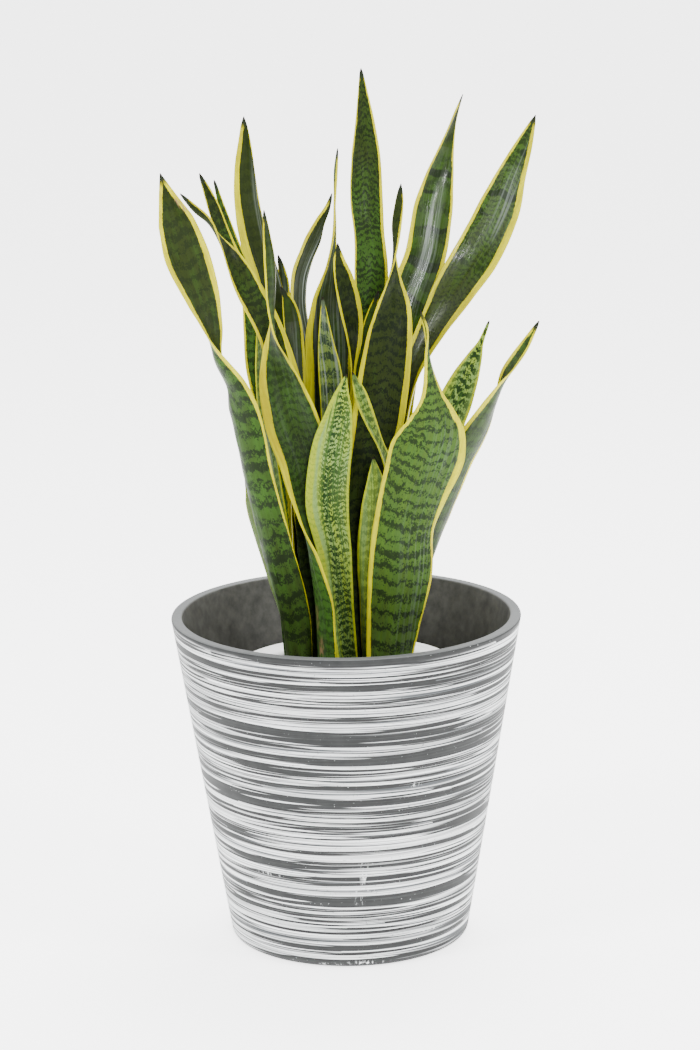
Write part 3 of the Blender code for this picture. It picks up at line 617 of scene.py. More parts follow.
def brushed_resin(settings):
    """Cast resin with a brushed white wash: satin, with feathered strokes that stand slightly proud."""
    look, node = new_material("cast resin, brushed white wash")
    place = node("TexCoord", output="Object")
    parts = node("SeparateXYZ", place).node.outputs

    def strokes(along_mm, high_mm, tilt, detail=1.0):
        """Noise stretched that many millimetres round the wall and that many up it."""
        lean = node("VectorMath DOT_PRODUCT", place, (tilt, -0.6 * tilt, 1.0))
        slanted = node("CombineXYZ", parts["X"], parts["Y"], lean)
        return stretched(node, slanted, (along_mm, along_mm, high_mm), detail)

    broad = strokes(330.0, 15.0, 0.026)
    stroke = strokes(260.0, 4.6, -0.018)
    streak = strokes(210.0, 2.0, 0.012)
    hair = strokes(170.0, 1.0, -0.006)
    # A stroke's edge wanders by a millimetre or so where single bristles run on.
    ragged = node(PLUS, node(RAMP, streak, 0.3, 0.7, -1.5, 1.5), node(RAMP, hair, 0.3, 0.7, -0.5, 0.5))
    bare = node("Attribute bare_mm", output="Fac")
    clear = node(RAMP, node(MINUS, ragged, bare), -0.3, 0.3)
    # The wash is fullest right beside a bare band, where the brush was laid down.
    cover = node(TIMES_PLUS, broad, 0.3, node(TIMES_PLUS, streak, 0.75, stroke))
    cover = node(PLUS, cover, node(RAMP, bare, -4.0, -1.5, 0.0, 0.1))
    paint = node(TIMES, node(RAMP, cover, 0.97, 1.0), clear)
    # Thin bristle lines cross the bare bands here and there.
    line = node(TIMES, node(RAMP, hair, 0.6, 0.66), node(RAMP, stroke, 0.46, 0.56))
    paint = node(LARGER, paint, node(TIMES, line, 0.8))
    paint = node(TIMES, paint, node("Attribute painted", output="Fac"))
    # Scratches run up and down over a rubbed patch, in lines about a millimetre wide.
    scratch = stretched(node, place, (2.381, 2.381, 22.22), 3.0, 0.7)
    scratched = node(TIMES, node(RAMP, scratch, 0.52, 0.58), node("Attribute scuff", output="Fac"))
    # Grit of about a millimetre chips through the wash, and smaller drops lie on the bare resin.
    grit = node("TexNoise", place, scale_for(1.613), 2.0)
    paint = node(TIMES, node(LARGER, paint, scratched), node(RAMP, grit, 0.64, 0.72, 1.0, 0.45))
    speck = node("TexNoise", place, scale_for(1.25), 0.0)
    paint = node(LARGER, paint, node(RAMP, speck, 0.8, 0.85, 0.0, 0.5))
    thick = node(LARGER, node(RAMP, node(TIMES_PLUS, streak, 1.2, hair), 0.9, 1.22), scratched)
    wash = node(BLEND, thick, settings.thin_stroke_colour, settings.stroke_colour)
    bristles = node(RAMP, strokes(140.0, 0.8, 0.004, 2.0), 0.35, 0.65, 0.57, 1.28)
    wash = node(BLEND, 1.0, wash, bristles, blend_type="MULTIPLY")
    cloudy = node(RAMP, node("TexNoise", place, scale_for(11.11), 4.0), 0.3, 0.7, 0.9, 1.1)
    shade = node(TIMES, cloudy, node(RAMP, hair, 0.35, 0.65, 0.85, 1.2))
    resin = node(BLEND, 1.0, settings.base_colour, shade, blend_type="MULTIPLY")
    bump = node("Bump", Strength=0.4, Distance=0.0002, Height=node(TIMES_PLUS, paint, thick, paint))
    return finished(look, settings.base_colour, Base_Color=node(BLEND, paint, resin, wash), Normal=bump,
                    Roughness=node(RAMP, paint, 0.0, 1.0, 0.5, 0.65), IOR=1.45, Specular_IOR_Level=0.12)


def bare_resin(name, colour, grain_mm, cloudiness):
    """Bare cast resin: dull, with blotches that are lighter and darker by cloudiness."""
    look, node = new_material(name)
    place = node("TexCoord", output="Object")
    wiped = stretched(node, place, (grain_mm, grain_mm, grain_mm / 0.85), 5.0, 0.6)
    shade = node("MapRange", wiped, 0.3, 0.7, 1.0 - cloudiness, 1.0 + cloudiness)
    tint = node(BLEND, 1.0, colour, shade, blend_type="MULTIPLY")
    bump = node("Bump", Strength=0.3, Distance=0.0003, Height=wiped)
    return finished(look, colour, Base_Color=tint, Roughness=0.5, Normal=bump, IOR=1.45,
                    Specular_IOR_Level=0.25)


def moulded_plastic(settings):
    """Injection moulded polypropylene: clean satin white with a very fine pebble."""
    look, node = new_material("moulded polypropylene")
    place = node("TexCoord", output="Object")
    dust = node("TexNoise", place, scale_for(16.67), 4.0)
    dust = node("MapRange", dust, 0.3, 0.75, 1.0, 0.93)
    colour = node(BLEND, 1.0, settings.liner_colour, dust, blend_type="MULTIPLY")
    # The mould's real pebble is too fine to show, and it is drawn about a millimetre wide.
    pebble = node("TexNoise", place, scale_for(1.111), 2.0)
    bump = node("Bump", Strength=0.15, Distance=0.0002, Height=pebble)
    return finished(look, settings.liner_colour, Base_Color=colour, Roughness=0.38, Normal=bump,
                    IOR=1.49)


def potting_mix():
    """Peat and bark potting mix: matt, nearly black, with brown crumbs about 3 mm across."""
    look, node = new_material("peat and bark potting mix")
    place = node("TexCoord", output="Object")
    crumb = node("TexVoronoi", Vector=place, Scale=scale_for(3.125), output="Color")
    crumb = node("SeparateColor", crumb)
    colour = node(BLEND, crumb, linear("#120e0b"), linear("#33251a"))
    fibre = node("TexNoise", place, scale_for(2.0), 5.0)
    bump = node("Bump", Strength=0.9, Distance=0.0012, Height=fibre)
    return finished(look, linear("#30241a"), Base_Color=colour, Roughness=0.92, Normal=bump, IOR=1.4)


def snake_plant_leaf(settings, name, gloss):
    """Waxy snake plant leaf: yellow margins, ragged dark cross bands, streaky gloss and dry tips."""
    look, node = new_material(name)
    read = SimpleNamespace(**{label: node("Attribute " + label, output="Fac")
                              for label in LEAF_NUMBERS})

    def grain(across_mm, along_mm, detail, offset, strength=1.0):
        """Noise about zero whose grain is that many millimetres across and along the blade."""
        vector = node("CombineXYZ", node(TIMES, read.across_mm, 1.0 / across_mm),
                      node(TIMES, read.along_mm, 1.0 / along_mm), node(PLUS, read.seed, offset))
        value = node("TexNoise", vector, 1.0, detail, 0.6)
        return node(TIMES_PLUS, value, strength, -0.5 * strength)

    # Bands wander by several millimetres across the blade, and their edges fray on a grain of
    # 1 to 2 mm.
    fray = grain(2.2, 6.0, 2.0, 11.7, 9.0)
    shift = node(PLUS, node(PLUS, grain(9.0, 30.0, 1.0, 3.1, 16.0), fray), read.peak_mm)
    phase = node(PLUS, read.cycles, node(OVER, shift, read.gap_mm))
    wave, finer = (node("Math SINE", node(TIMES, phase, math.tau * pace)) for pace in (1.0, 2.63))
    speckle = grain(0.9, 1.7, 1.0, 31.3, 5.0)
    # On pale leaves the dark flecks crowd into the middle of the blade.
    crowded = node(TIMES, node(TIMES, read.middle, read.pale), 0.6)
    lift = node(TIMES_PLUS, finer, 0.42, wave)
    for part in (grain(70.0, 22.0, 1.0, 23.9, 3.0), speckle, grain(3.4, 4.6, 2.0, 37.7, 3.6), crowded):
        lift = node(PLUS, lift, part)
    band = node(RAMP, lift, -0.35, 0.75)
    tone = node(PLUS, grain(7.0, 40.0, 2.0, 41.9, 1.1), read.tone)
    silver = node(BLEND, node(RAMP, grain(3.0, 60.0, 1.0, 45.5), -0.12, 0.12), settings.pale_colour,
                  linear("#809634"))
    green = layered(node, settings.deep_colour, (node("Clamp", tone), settings.light_colour),
                    (node(RAMP, tone, -0.7, 0.0, 0.6, 0.0), settings.band_colour), (read.pale, silver))
    dark = node(BLEND, node(TIMES, read.pale, 0.7), settings.band_colour, linear("#1c3512"))
    held = node(TIMES, node(MINUS, 1.0, read.middle), read.pale)
    strength = node(TIMES, read.contrast, node(TIMES_PLUS, held, -0.85, 1.0))
    solid = node(RAMP, node(TIMES_PLUS, fray, 0.35, read.solid_mm), -0.6, 0.6, 0.0, 0.9)
    # Thin dark lines run the length of the pale leaves, and a painted grey sheen lies in streaks.
    line = node(TIMES, node(RAMP, grain(1.1, 150.0, 0.0, 57.9), 0.13, 0.18, 0.0, 0.75), read.pale)
    sheen_streaks = node(TIMES, node(RAMP, grain(1.9, 120.0, 1.0, 49.3), -0.08, 0.2, 0.06, 1.0), read.bloom)
    banded = layered(node, green, (node(LARGER, node(TIMES, band, strength), solid), dark),
                     # The grey #868e8a is painted sheen, a painted highlight along the blade.
                     (line, linear("#2f4a1c")), (sheen_streaks, linear("#868e8a")))
    # The yellow starts along an uneven line and carries faint green stains.
    nick = grain(0.9, 2.4, 1.0, 61.7, 1.1)
    inside = node(PLUS, read.margin_mm, node(PLUS, grain(3.0, 40.0, 1.0, 53.3, 2.2), nick))
    stain = node(TIMES, node(RAMP, node(TIMES_PLUS, speckle, 0.5, wave), 0.3, 1.1),
                 node(TIMES_PLUS, read.pale, 0.45, 0.08))
    yellow = layered(
        node, settings.margin_colour,
        (node(RAMP, grain(3.0, 34.0, 2.0, 71.1), -0.16, 0.16), linear("#bab400")),
        (node(RAMP, grain(9.0, 60.0, 1.0, 73.3), 0.08, 0.2, 0.0, 0.35), linear("#9a8400")),
        (node(TIMES, read.pale, 0.8), linear("#7c8f26")), (stain, linear("#55701a")))
    scarred = node(TIMES, read.scar, node(RAMP, grain(1.0, 9.0, 2.0, 83.0), -0.08, 0.08))
    # The last centimetre darkens, and its point is dry and brown.
    darkened = node(TIMES, node(RAMP, node(TIMES_PLUS, nick, 2.0, read.tip_mm), 13.0, 5.0),
                    node(TIMES_PLUS, read.pale, -0.9, 1.0))
    colour = layered(
        node, banded, (node(RAMP, inside, -0.35, 0.35), yellow), (scarred, linear("#80684a")),
        (darkened, linear("#20261a")), (node(RAMP, read.tip_mm, 3.5, 1.5), settings.tip_colour))
    # Fine ribs run the length of the blade, about a millimetre apart.
    ribs = node(TIMES_PLUS, band, 0.25, grain(1.4, 70.0, 1.0, 91.0))
    bump = node("Bump", Strength=0.3, Distance=0.0004, Height=ribs)
    # Its gloss breaks up into streaks along the blade, in patches a few centimetres long.
    fine_break = node(RAMP, grain(1.8, 60.0, 2.0, 97.0), -0.12, 0.14, -0.06, 0.2)
    patches = node(RAMP, grain(12.0, 32.0, 1.0, 103.0), -0.08, 0.12, -0.04, 0.16)
    rough = node(PLUS, node(PLUS, read.rough, fine_break), patches)
    return finished(look, settings.light_colour, Base_Color=colour, Roughness=rough, Normal=bump,
                    IOR=1.45, Specular_IOR_Level=gloss)


def paper_floor(settings):
    """Seamless paper: flat white without gloss, lit from behind except well in front of the plant."""
    look, node = new_material("seamless paper")
    place = node("TexCoord", output="Object")
    depth = node("SeparateXYZ", place, output="Y")
    glow = node(RAMP, depth, -1.0, -0.38, 0.0, settings.floor_glow)
    return finished(look, settings.floor_colour, Base_Color=settings.floor_colour, Roughness=0.95,
                    Specular_IOR_Level=0.1, Emission_Color=(1.0, 1.0, 1.0), Emission_Strength=glow)


def planter_profile(height, rim_radius):
    """The planter's profile, and the rows where its worn lip and its brushed wall start."""
    slope = (rim_radius - PLANTER_FOOT_RADIUS) / height
    lean = math.degrees(math.atan(slope))
    inner_corner = (rim_radius - PLANTER_WALL + LIP_ROUND, height - LIP_ROUND)
    outer_corner = (rim_radius - LIP_ROUND, height - LIP_ROUND)
    foot_centre = (PLANTER_FOOT_RADIUS - PLANTER_FOOT_ROUND + slope * PLANTER_FOOT_ROUND,
                   PLANTER_FOOT_ROUND)
    flat_radius = PLANTER_FOOT_RADIUS - PLANTER_WALL + slope * PLANTER_FLOOR - FLOOR_ROUND
    lip_points = arc(inner_corner, LIP_ROUND, 180 - lean, 90, 6)
    top_points = divided(lip_points[-1], (outer_corner[0], height), LIP_ROW)
    edge_points = arc(outer_corner, LIP_ROUND, 90, -lean, 8)
    foot_points = arc(foot_centre, PLANTER_FOOT_ROUND, -lean, -90, 10)
    inside = [(0.0, PLANTER_FLOOR)]
    inside += divided(inside[0], (flat_radius, PLANTER_FLOOR), FLAT_ROW)
    inside += arc((flat_radius, PLANTER_FLOOR + FLOOR_ROUND), FLOOR_ROUND, -90, 0, 6)
    inside += divided(inside[-1], lip_points[0], INSIDE_ROW)
    before_wall = inside + lip_points + top_points + edge_points
    profile = before_wall + divided(edge_points[-1], foot_points[0], PLANTER_ROW)
    profile += foot_points + divided(foot_points[-1], (0.0, 0.0), FLAT_ROW) + [(0.0, 0.0)]
    # The worn part starts half way round the lip's inner side and ends half way round its outer one.
    return profile, len(inside) + 3, len(before_wall) - 5


def bare_distance(angles, heights):
    """Millimetres inside the nearest bare stripe at each place, below zero outside it."""
    draw = random.Random(8)
    stripes = list(BARE_BANDS)
    # Thin stripes, two to a level and made up, fill the wall between the bands that were set.
    level, last_level = THIN_STRIPES
    while level < last_level:
        level += draw.uniform(0.6, 1.4) * STRIPE_SPACING
        start = draw.uniform(-180.0, 180.0)
        for _ in range(2):
            length = draw.uniform(60.0, 150.0)
            stripes.append((level + draw.uniform(-1.0, 1.0), draw.uniform(1.8, 3.4), start,
                            start + length, draw.uniform(-0.5, 1.5)))
            start += length + draw.uniform(5.0, 40.0)
    deepest = np.full(len(heights), FAR_OUTSIDE)
    for order, (level, thickness, start, end, climb) in enumerate(stripes):
        turn = start + (angles - start) % 360.0
        share = (turn - start) / (end - start)
        # A stripe narrows to a point over the last sixth of its length at each end.
        half = thickness / 2 * np.sqrt(np.clip(6.0 * np.minimum(share, 1.0 - share), 0.0, 1.0))
        bent = np.radians(turn)
        wander = 0.7 * np.sin(3.1 * bent + order) + climb * bent
        swell = 1.0 + 0.25 * np.sin(2.3 * bent + 2.0 * order)
        inside = np.where(share < 1.0, half * swell - np.abs(heights - level - wander), FAR_OUTSIDE)
        deepest = np.maximum(deepest, inside)
    return deepest


def scuff_share(angles, heights):
    """How strongly the wall is rubbed at each place, from 0 to 1."""
    reach = [np.hypot((angles - middle) / wide, (heights - level) / high)
             for middle, level, wide, high in SCUFFS]
    return np.clip(1.5 - np.min(reach, axis=0), 0.0, 1.0)


class PLANTER_OT_shell(bpy.types.Operator):
    """Turn the planter, with its bare bands between brushed strokes."""

    bl_idname = "snake_plant.planter"
    bl_label = "Planter"

    def execute(self, context):
        settings = context.scene.planter_settings
        height, turns = settings.height / MM, settings.turns
        profile, lip_row, wall_row = planter_profile(height, settings.rim_radius / MM)
        points, faces = turned(profile, turns)
        materials = [
            bare_resin("cast resin, unpainted inside", settings.inside_colour, 9.0, 0.36),
            bare_resin("cast resin, rubbed lip", linear("#5a5c5c"), 2.5, 0.12),
            brushed_resin(settings)]
        shell = mesh_piece("planter_shell", points, faces, materials)
        places = np.array(points)
        heights = places[:, 2] / MM
        angles = np.degrees(np.arctan2(places[:, 0], -places[:, 1]))
        rise = np.array([noise.noise(Vector(point) * EDGE_LUMPS) for point in points])
        # The wash starts below a bare strip that is widest at the front, and ends above the foot.
        bare_rim = 3.0 + 3.5 * np.cos(np.radians(1.2 * np.clip(angles, -75.0, 75.0))) ** 2
        from_top = np.clip((height - bare_rim + rise - heights) / 1.2, 0.0, 1.0)
        from_foot = np.clip((heights - BARE_FOOT_BAND - 2.0 * rise) / 1.5, 0.0, 1.0)
        mark(shell.data, "bare_mm", bare_distance(angles, heights))
        mark(shell.data, "painted", from_top * from_foot)
        mark(shell.data, "scuff", scuff_share(angles, heights))
        for polygon in shell.data.polygons:
            row = polygon.index // turns + 1
            closes_end = row > len(profile) - 3
            polygon.material_index = 0 if closes_end or row < lip_row else 1 if row < wall_row else 2
        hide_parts("planter")
        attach(shell, "root")
        return {"FINISHED"}


class PLANTER_OT_liner(bpy.types.Operator):
    """Turn the grower's liner, with its wide collar and turned-down skirt."""

    bl_idname = "snake_plant.liner"
    bl_label = "Liner"

    def execute(self, context):
        settings = context.scene.planter_settings
        foot = LINER_LOW.z / MM
        floor = foot + LINER_FLOOR
        top = LINER_HIGH.z / MM - COLLAR_DROP
        under = top - COLLAR_THICKNESS
        skirt = top - COLLAR_SKIRT
        bead_radius = (LINER_MOUTH_RADIUS + COLLAR_OUTER_RADIUS) / 2 + 3
        inner_foot = LINER_FOOT_RADIUS - LINER_WALL - LINER_ROUND
        profile = [(0.0, floor), (inner_foot - 1, floor)]
        profile += arc((inner_foot, floor + LINER_ROUND), LINER_ROUND, -90, 0, 4)
        profile += arc((LINER_MOUTH_RADIUS + MOUTH_ROUND, top - MOUTH_ROUND), MOUTH_ROUND, 175, 90, 8)
        profile += arc((bead_radius, top - BEAD_DROP), BEAD_ROUND, 150, 30, 6)
        profile += arc((COLLAR_OUTER_RADIUS - EDGE_ROUND, top - EDGE_ROUND), EDGE_ROUND, 90, 0, 5)
        profile += [(COLLAR_OUTER_RADIUS + 0.6, skirt), (COLLAR_OUTER_RADIUS - 0.6, skirt),
                    (COLLAR_OUTER_RADIUS - 2.4, under), (LINER_MOUTH_RADIUS + LINER_WALL + 1, under),
                    (LINER_MOUTH_RADIUS + LINER_WALL, under - 2), (LINER_FOOT_RADIUS, foot + LINER_ROUND)]
        profile += arc((LINER_FOOT_RADIUS - LINER_ROUND, foot + LINER_ROUND), LINER_ROUND, -15, -90, 4)
        points, faces = turned(profile + [(0.0, foot)], LINER_TURNS)
        liner = mesh_piece("grower_liner", points, faces, [moulded_plastic(settings)])
        liner.data.set_sharp_from_angle(angle=math.radians(50))
        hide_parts("liner")
        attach(liner, "root")
        return {"FINISHED"}


def soil_height(x, y):
    """Height of the soil at a place, in millimetres, with lumps of 17 mm and crumbs of 3 mm."""
    lumps = noise.fractal(Vector((x * 0.06, y * 0.06, 4.2)), 1.0, 2.1, 4)
    crumbs = noise.noise(Vector((x * 0.35, y * 0.35, 9.7)))
    return SOIL_TOP - 1.6 + 1.3 * lumps + 0.7 * crumbs


class PLANTER_OT_soil(bpy.types.Operator):
    """Fill the liner with lumpy soil and scatter crumbs and bark over it."""

    bl_idname = "snake_plant.soil"
    bl_label = "Soil"

    def execute(self, context):
        foot = SOIL_LOW.z / MM
        profile = [(SOIL_MOUTH_RADIUS * ring / SOIL_RINGS, SOIL_TOP) for ring in range(SOIL_RINGS + 1)]
        points, faces = turned(profile + [(SOIL_FOOT_RADIUS, foot), (0.0, foot)], SOIL_TURNS)
        points = [(x, y, soil_height(x / MM, y / MM) * MM if z == SOIL_TOP * MM else z)
                  for x, y, z in points]
        soil_look = potting_mix()
        soil = mesh_piece("potting_soil", points, faces, [soil_look])
        crumbs = self.scatter(soil_look)
        for piece in (soil, crumbs):
            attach(piece, "root")
        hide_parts("soil")
        return {"FINISHED"}

    def scatter(self, soil_look):
        """Crumbs and bark chips about 2 to 9 mm long, lying between the leaves."""
        draw = random.Random(11)
        # A crumb is an uneven icosahedron. Before it is sized, its edges are 2 long.
        golden = (1 + 5 ** 0.5) / 2
        corners = []
        for a, b in ((1, golden), (-1, golden), (1, -golden), (-1, -golden)):
            corners += [Vector((0, a, b)), Vector((a, b, 0)), Vector((b, 0, a))]
        sides = []
        for numbers in combinations(range(len(corners)), 3):
            i, j, k = (corners[number] for number in numbers)
            if max((i - j).length, (j - k).length, (i - k).length) < 2.1:
                outward = (j - i).cross(k - i).dot(i + j + k) > 0
                sides.append(numbers if outward else (numbers[0], numbers[2], numbers[1]))
        feet = [Vector(stations[0][:2]) for stations in LEAVES.values()]
        points = []
        faces = []
        for _ in range(CRUMBS):
            radius = CRUMB_SPREAD * math.sqrt(draw.random())
            angle = draw.uniform(0, math.tau)
            x, y = radius * math.cos(angle), radius * math.sin(angle)
            if min((foot - Vector((x, y))).length for foot in feet) < LEAF_CLEARANCE:
                continue
            size = draw.uniform(0.9, 2.4)
            stretch = Matrix.Diagonal((draw.uniform(0.8, 2.0), draw.uniform(0.7, 1.1),
                                       draw.uniform(0.35, 0.8)))
            turn = Matrix.Rotation(draw.uniform(0, math.tau), 3, "Z")
            tilt = Matrix.Rotation(draw.uniform(-0.5, 0.5), 3, "X")
            place = Vector((x, y, soil_height(x, y) + size * 0.15))
            faces += [tuple(len(points) + number for number in side) for side in sides]
            for corner in corners:
                bumpy = corner * (size / 1.9 * draw.uniform(0.75, 1.2))
                points.append((place + turn @ tilt @ stretch @ bumpy) * MM)
        return mesh_piece("soil_crumbs", points, faces, [soil_look], smooth=False)


def slopes_along(values, knots, keeps_range):
    """Slope at each station, smooth for a path, and without overshoot where keeps_range is set."""
    rises = [(values[k + 1] - values[k]) / (knots[k + 1] - knots[k]) for k in range(len(values) - 1)]
    slopes = [rises[0]]
    for index in range(1, len(values) - 1):
        before = knots[index] - knots[index - 1]
        after = knots[index + 1] - knots[index]
        low, high = rises[index - 1], rises[index]
        if not keeps_range:
            slopes.append((low * after + high * before) / (before + after))
        elif low * high <= 0.0:
            slopes.append(0.0)
        else:
            near, far = 2 * after + before, after + 2 * before
            slopes.append((near + far) / (near / low + far / high))
    slopes.append(rises[-1])
    return slopes


def sample_leaf(stations, count):
    """Steps along a leaf's spine: its values, its direction, its share and its distance in mm."""
    knots = [0.0]
    for first, second in zip(stations, stations[1:]):
        knots.append(knots[-1] + math.dist(first[:3], second[:3]))
    columns = list(zip(*stations))
    slopes = [slopes_along(column, knots, index > 2) for index, column in enumerate(columns)]
    samples = []
    span = 0
    for step in range(count):
        distance = knots[-1] * step / (count - 1)
        while span < len(stations) - 2 and distance > knots[span + 1]:
            span += 1
        length = knots[span + 1] - knots[span]
        t = (distance - knots[span]) / length
        values = []
        heading = []
        for column, slope in zip(columns, slopes):
            low, high = column[span], column[span + 1]
            start, end = slope[span] * length, slope[span + 1] * length
            values.append((2 * t**3 - 3 * t**2 + 1) * low + (t**3 - 2 * t**2 + t) * start
                          + (3 * t**2 - 2 * t**3) * high + (t**3 - t**2) * end)
            heading.append((6 * t**2 - 6 * t) * (low - high) + (3 * t**2 - 4 * t + 1) * start
                           + (3 * t**2 - 2 * t) * end)
        samples.append((values, Vector(heading[:3]).normalized(), step / (count - 1), distance))
    return samples


def band_depth(name, height, across, seed):
    """Millimetres inside a leaf's nearest single dark band, below zero outside it."""
    deepest = -9.0
    for leaf, level, half, middle, span in DARK_BANDS:
        if leaf == name:
            bend = 5.0 * noise.noise(Vector((across * 1.4, level, seed)))
            fullness = max(0.0, 1.0 - ((across - middle) / span) ** 2)
            deepest = max(deepest, half * math.sqrt(fullness) - abs(height - level - bend))
    return deepest


def scar_share(name, face, height, across, width):
    """How deep inside a healed scar a place on a leaf lies, from 0 to 1."""
    deepest = 0.0
    for leaf, side, start, end, half in SCARS:
        if leaf == name and side == face:
            along = clamp((height - start[0]) / (end[0] - start[0]))
            level = start[0] + along * (end[0] - start[0])
            centre = start[1] + along * (end[1] - start[1])
            distance = math.hypot((across - centre) * width / 2, height - level)
            deepest = max(deepest, clamp(1.6 - distance / half))
    return deepest


def skin(sections, around):
    """Faces between a leaf's neighbouring sections, and its two closed ends."""
    faces = []
    for row in range(0, (sections - 1) * around, around):
        for index in range(around):
            onward = (index + 1) % around
            faces.append((row + index, row + onward, row + around + onward, row + around + index))
    last = (sections - 1) * around
    for index in range(around // 2 - 1):
        opposite = around - 1 - index
        faces.append((index, opposite, opposite - 1, index + 1))
        faces.append((last + index, last + index + 1, last + opposite - 1, last + opposite))
    return faces


class PLANTER_OT_leaves(bpy.types.Operator):
    """Loft every leaf through the same stations as its solid, with wavy margins and dry tips."""

    bl_idname = "snake_plant.leaves"
    bl_label = "Leaves"

    def execute(self, context):
        settings = context.scene.leaf_settings
        plain = snake_plant_leaf(settings, "waxy snake plant leaf", 0.07)
        polished = snake_plant_leaf(settings, "waxy snake plant leaf, polished", 0.2)
        for order, (name, stations) in enumerate(LEAVES.items()):
            materials = [polished, plain] if name in GLOSSY else [plain]
            blade = self.blade(name, stations, order * SEED_STEP, settings, materials)
            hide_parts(name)
            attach(blade, "root")
        return {"FINISHED"}

    def blade(self, name, stations, seed, settings, materials):
        """One leaf's mesh with the numbers that its material reads."""
        inner_look, outer_look, pale, bloom, (base_gap, tip_gap), peak, *margins = MARKINGS[name]
        sheen_start, sheen_end, sheen_middle, sheen_half = PAINTED_SHEEN_STRIPS.get(name, WHOLE_BLADE)
        from_share, to_share, loss = DARKENING_AND_SHADE.get(name, NOT_DARKENED)
        samples = sample_leaf(stations, settings.sections)
        values, direction, _, _ = samples[0]
        foot = Vector(values[:3]) - direction * ROOT_DEPTH / direction.z
        samples.insert(0, ([*foot, *values[3:]], direction, 0.0, -ROOT_DEPTH))
        length = samples[-1][3]
        even_steps = [2.0 * strip / settings.strips - 1.0 for strip in range(settings.strips + 1)]
        points = []
        numbers = []
        cycles = 0.0
        reached = 0.0
        for (x, y, height, width, facing, wrap), direction, share, along in samples:
            facing, wrap = math.radians(facing), math.radians(wrap)
            inward = Vector((math.sin(facing), -math.cos(facing), 0.0))
            inward = (inward - direction * inward.dot(direction)).normalized()
            sideways = direction.cross(inward)
            spine = Vector((x, y, SOIL_TOP + height))
            width = min(width, LEAF_SPIKE_WIDTH + LEAF_SPIKE_TAPER * (length - along))
            radius = width / wrap
            taper = (1.0 - share) ** 1.5
            thickness = LEAF_BASE_THICKNESS * taper + LEAF_BLADE_THICKNESS * (1.0 - taper)
            thickness = min(thickness, LEAF_THINNEST + LEAF_THICKENING * width)
            ripple = LEAF_RIPPLE * min(1.0, width / 30.0) * min(1.0, share * 5.0)
            gap = base_gap + (tip_gap - base_gap) * share
            cycles += (along - reached) / gap
            reached = along
            left, right = (np.interp(share, MARGIN_STEPS, widths) for widths in margins)
            from_point = POINT_SHRINK * max(0.0, LEAF_POINT - length + along)
            # The painted grey sheen fades in over a tenth of the leaf's length at each end of its
            # stretch.
            sheen_here = bloom * clamp(min(share - sheen_start, sheen_end - share) / 0.1)
            # Painted shade, and a deeper green, towards one end of the leaf.
            darkening_and_shade = loss * clamp((share - from_share) / (to_share - from_share))
            paleness = pale * min(1.0, 0.5 + 1.3 * share)
            # A leaf turns duller over the last seventh of its length.
            rough = GLOSSY.get(name, PLAIN_ROUGHNESS) + 0.3 * clamp((share - 0.86) / 0.08)
            section = ([], [])
            for even in even_steps:
                # The strips narrow towards the margins, where the yellow needs them.
                across = even * (1.36 - 0.36 * even * even)
                off = abs(across)
                turn = across * wrap / 2
                normal = inward * math.cos(turn) - sideways * math.sin(turn)
                point = spine + sideways * radius * math.sin(turn)
                point += inward * radius * (1.0 - math.cos(turn))
                side = 1.0 if across > 0 else -1.0
                wobble = noise.noise(Vector((along * RIPPLES_PER_MM, side * 3.0, seed)))
                point += normal * wobble * ripple * off ** 5
                half = thickness * (1.0 - (1.0 - LEAF_MARGIN_SHARE) * across * across) / 2
                half *= math.sqrt(max(0.02, 1.0 - off ** 22))
                into_margin = (right if side > 0 else left) - (1.0 - off) * width / 2 - from_point
                middle = min(1.0, 1.7 * (1.0 - off))
                if name in PLAIN_SIDES:
                    middle = clamp(0.5 + (across - PLAIN_SIDES[name]) / 0.25)
                    middle *= 1.0 - 0.25 * max(0.0, across)
                # Painted grey sheen, across its strip of the blade.
                strip_sheen = sheen_here * max(0.0, 1.0 - ((across - sheen_middle) / sheen_half) ** 2)
                solid = band_depth(name, height, across, seed)
                for face, (tone, contrast) in enumerate((inner_look, outer_look)):
                    # The two faces read their patterns 70 mm apart, so that they differ.
                    section[face].append(((point + (1 - 2 * face) * half * normal) * MM, (
                        across * width / 2 + face * 70.0, along, into_margin, length - along,
                        tone - darkening_and_shade, contrast, gap, cycles, peak * off * width / 2, middle,
                        scar_share(name, face, height, across, width), strip_sheen, paleness,
                        rough, solid, seed)))
            for place, values in section[0] + section[1][::-1]:
                points.append(place)
                numbers.append(values)
        around = 2 * len(even_steps)
        blade = mesh_piece(name.replace("leaf_", "blade_"), points, skin(len(samples), around),
                           materials)
        if len(materials) > 1:
            # A polished leaf ends in a dull tip.
            for polygon in blade.data.polygons:
                row = polygon.index // around
                polygon.material_index = int(row > TIP_SHARE * len(samples))
        for label, column in zip(LEAF_NUMBERS, zip(*numbers)):
            mark(blade.data, label, column)
        return blade


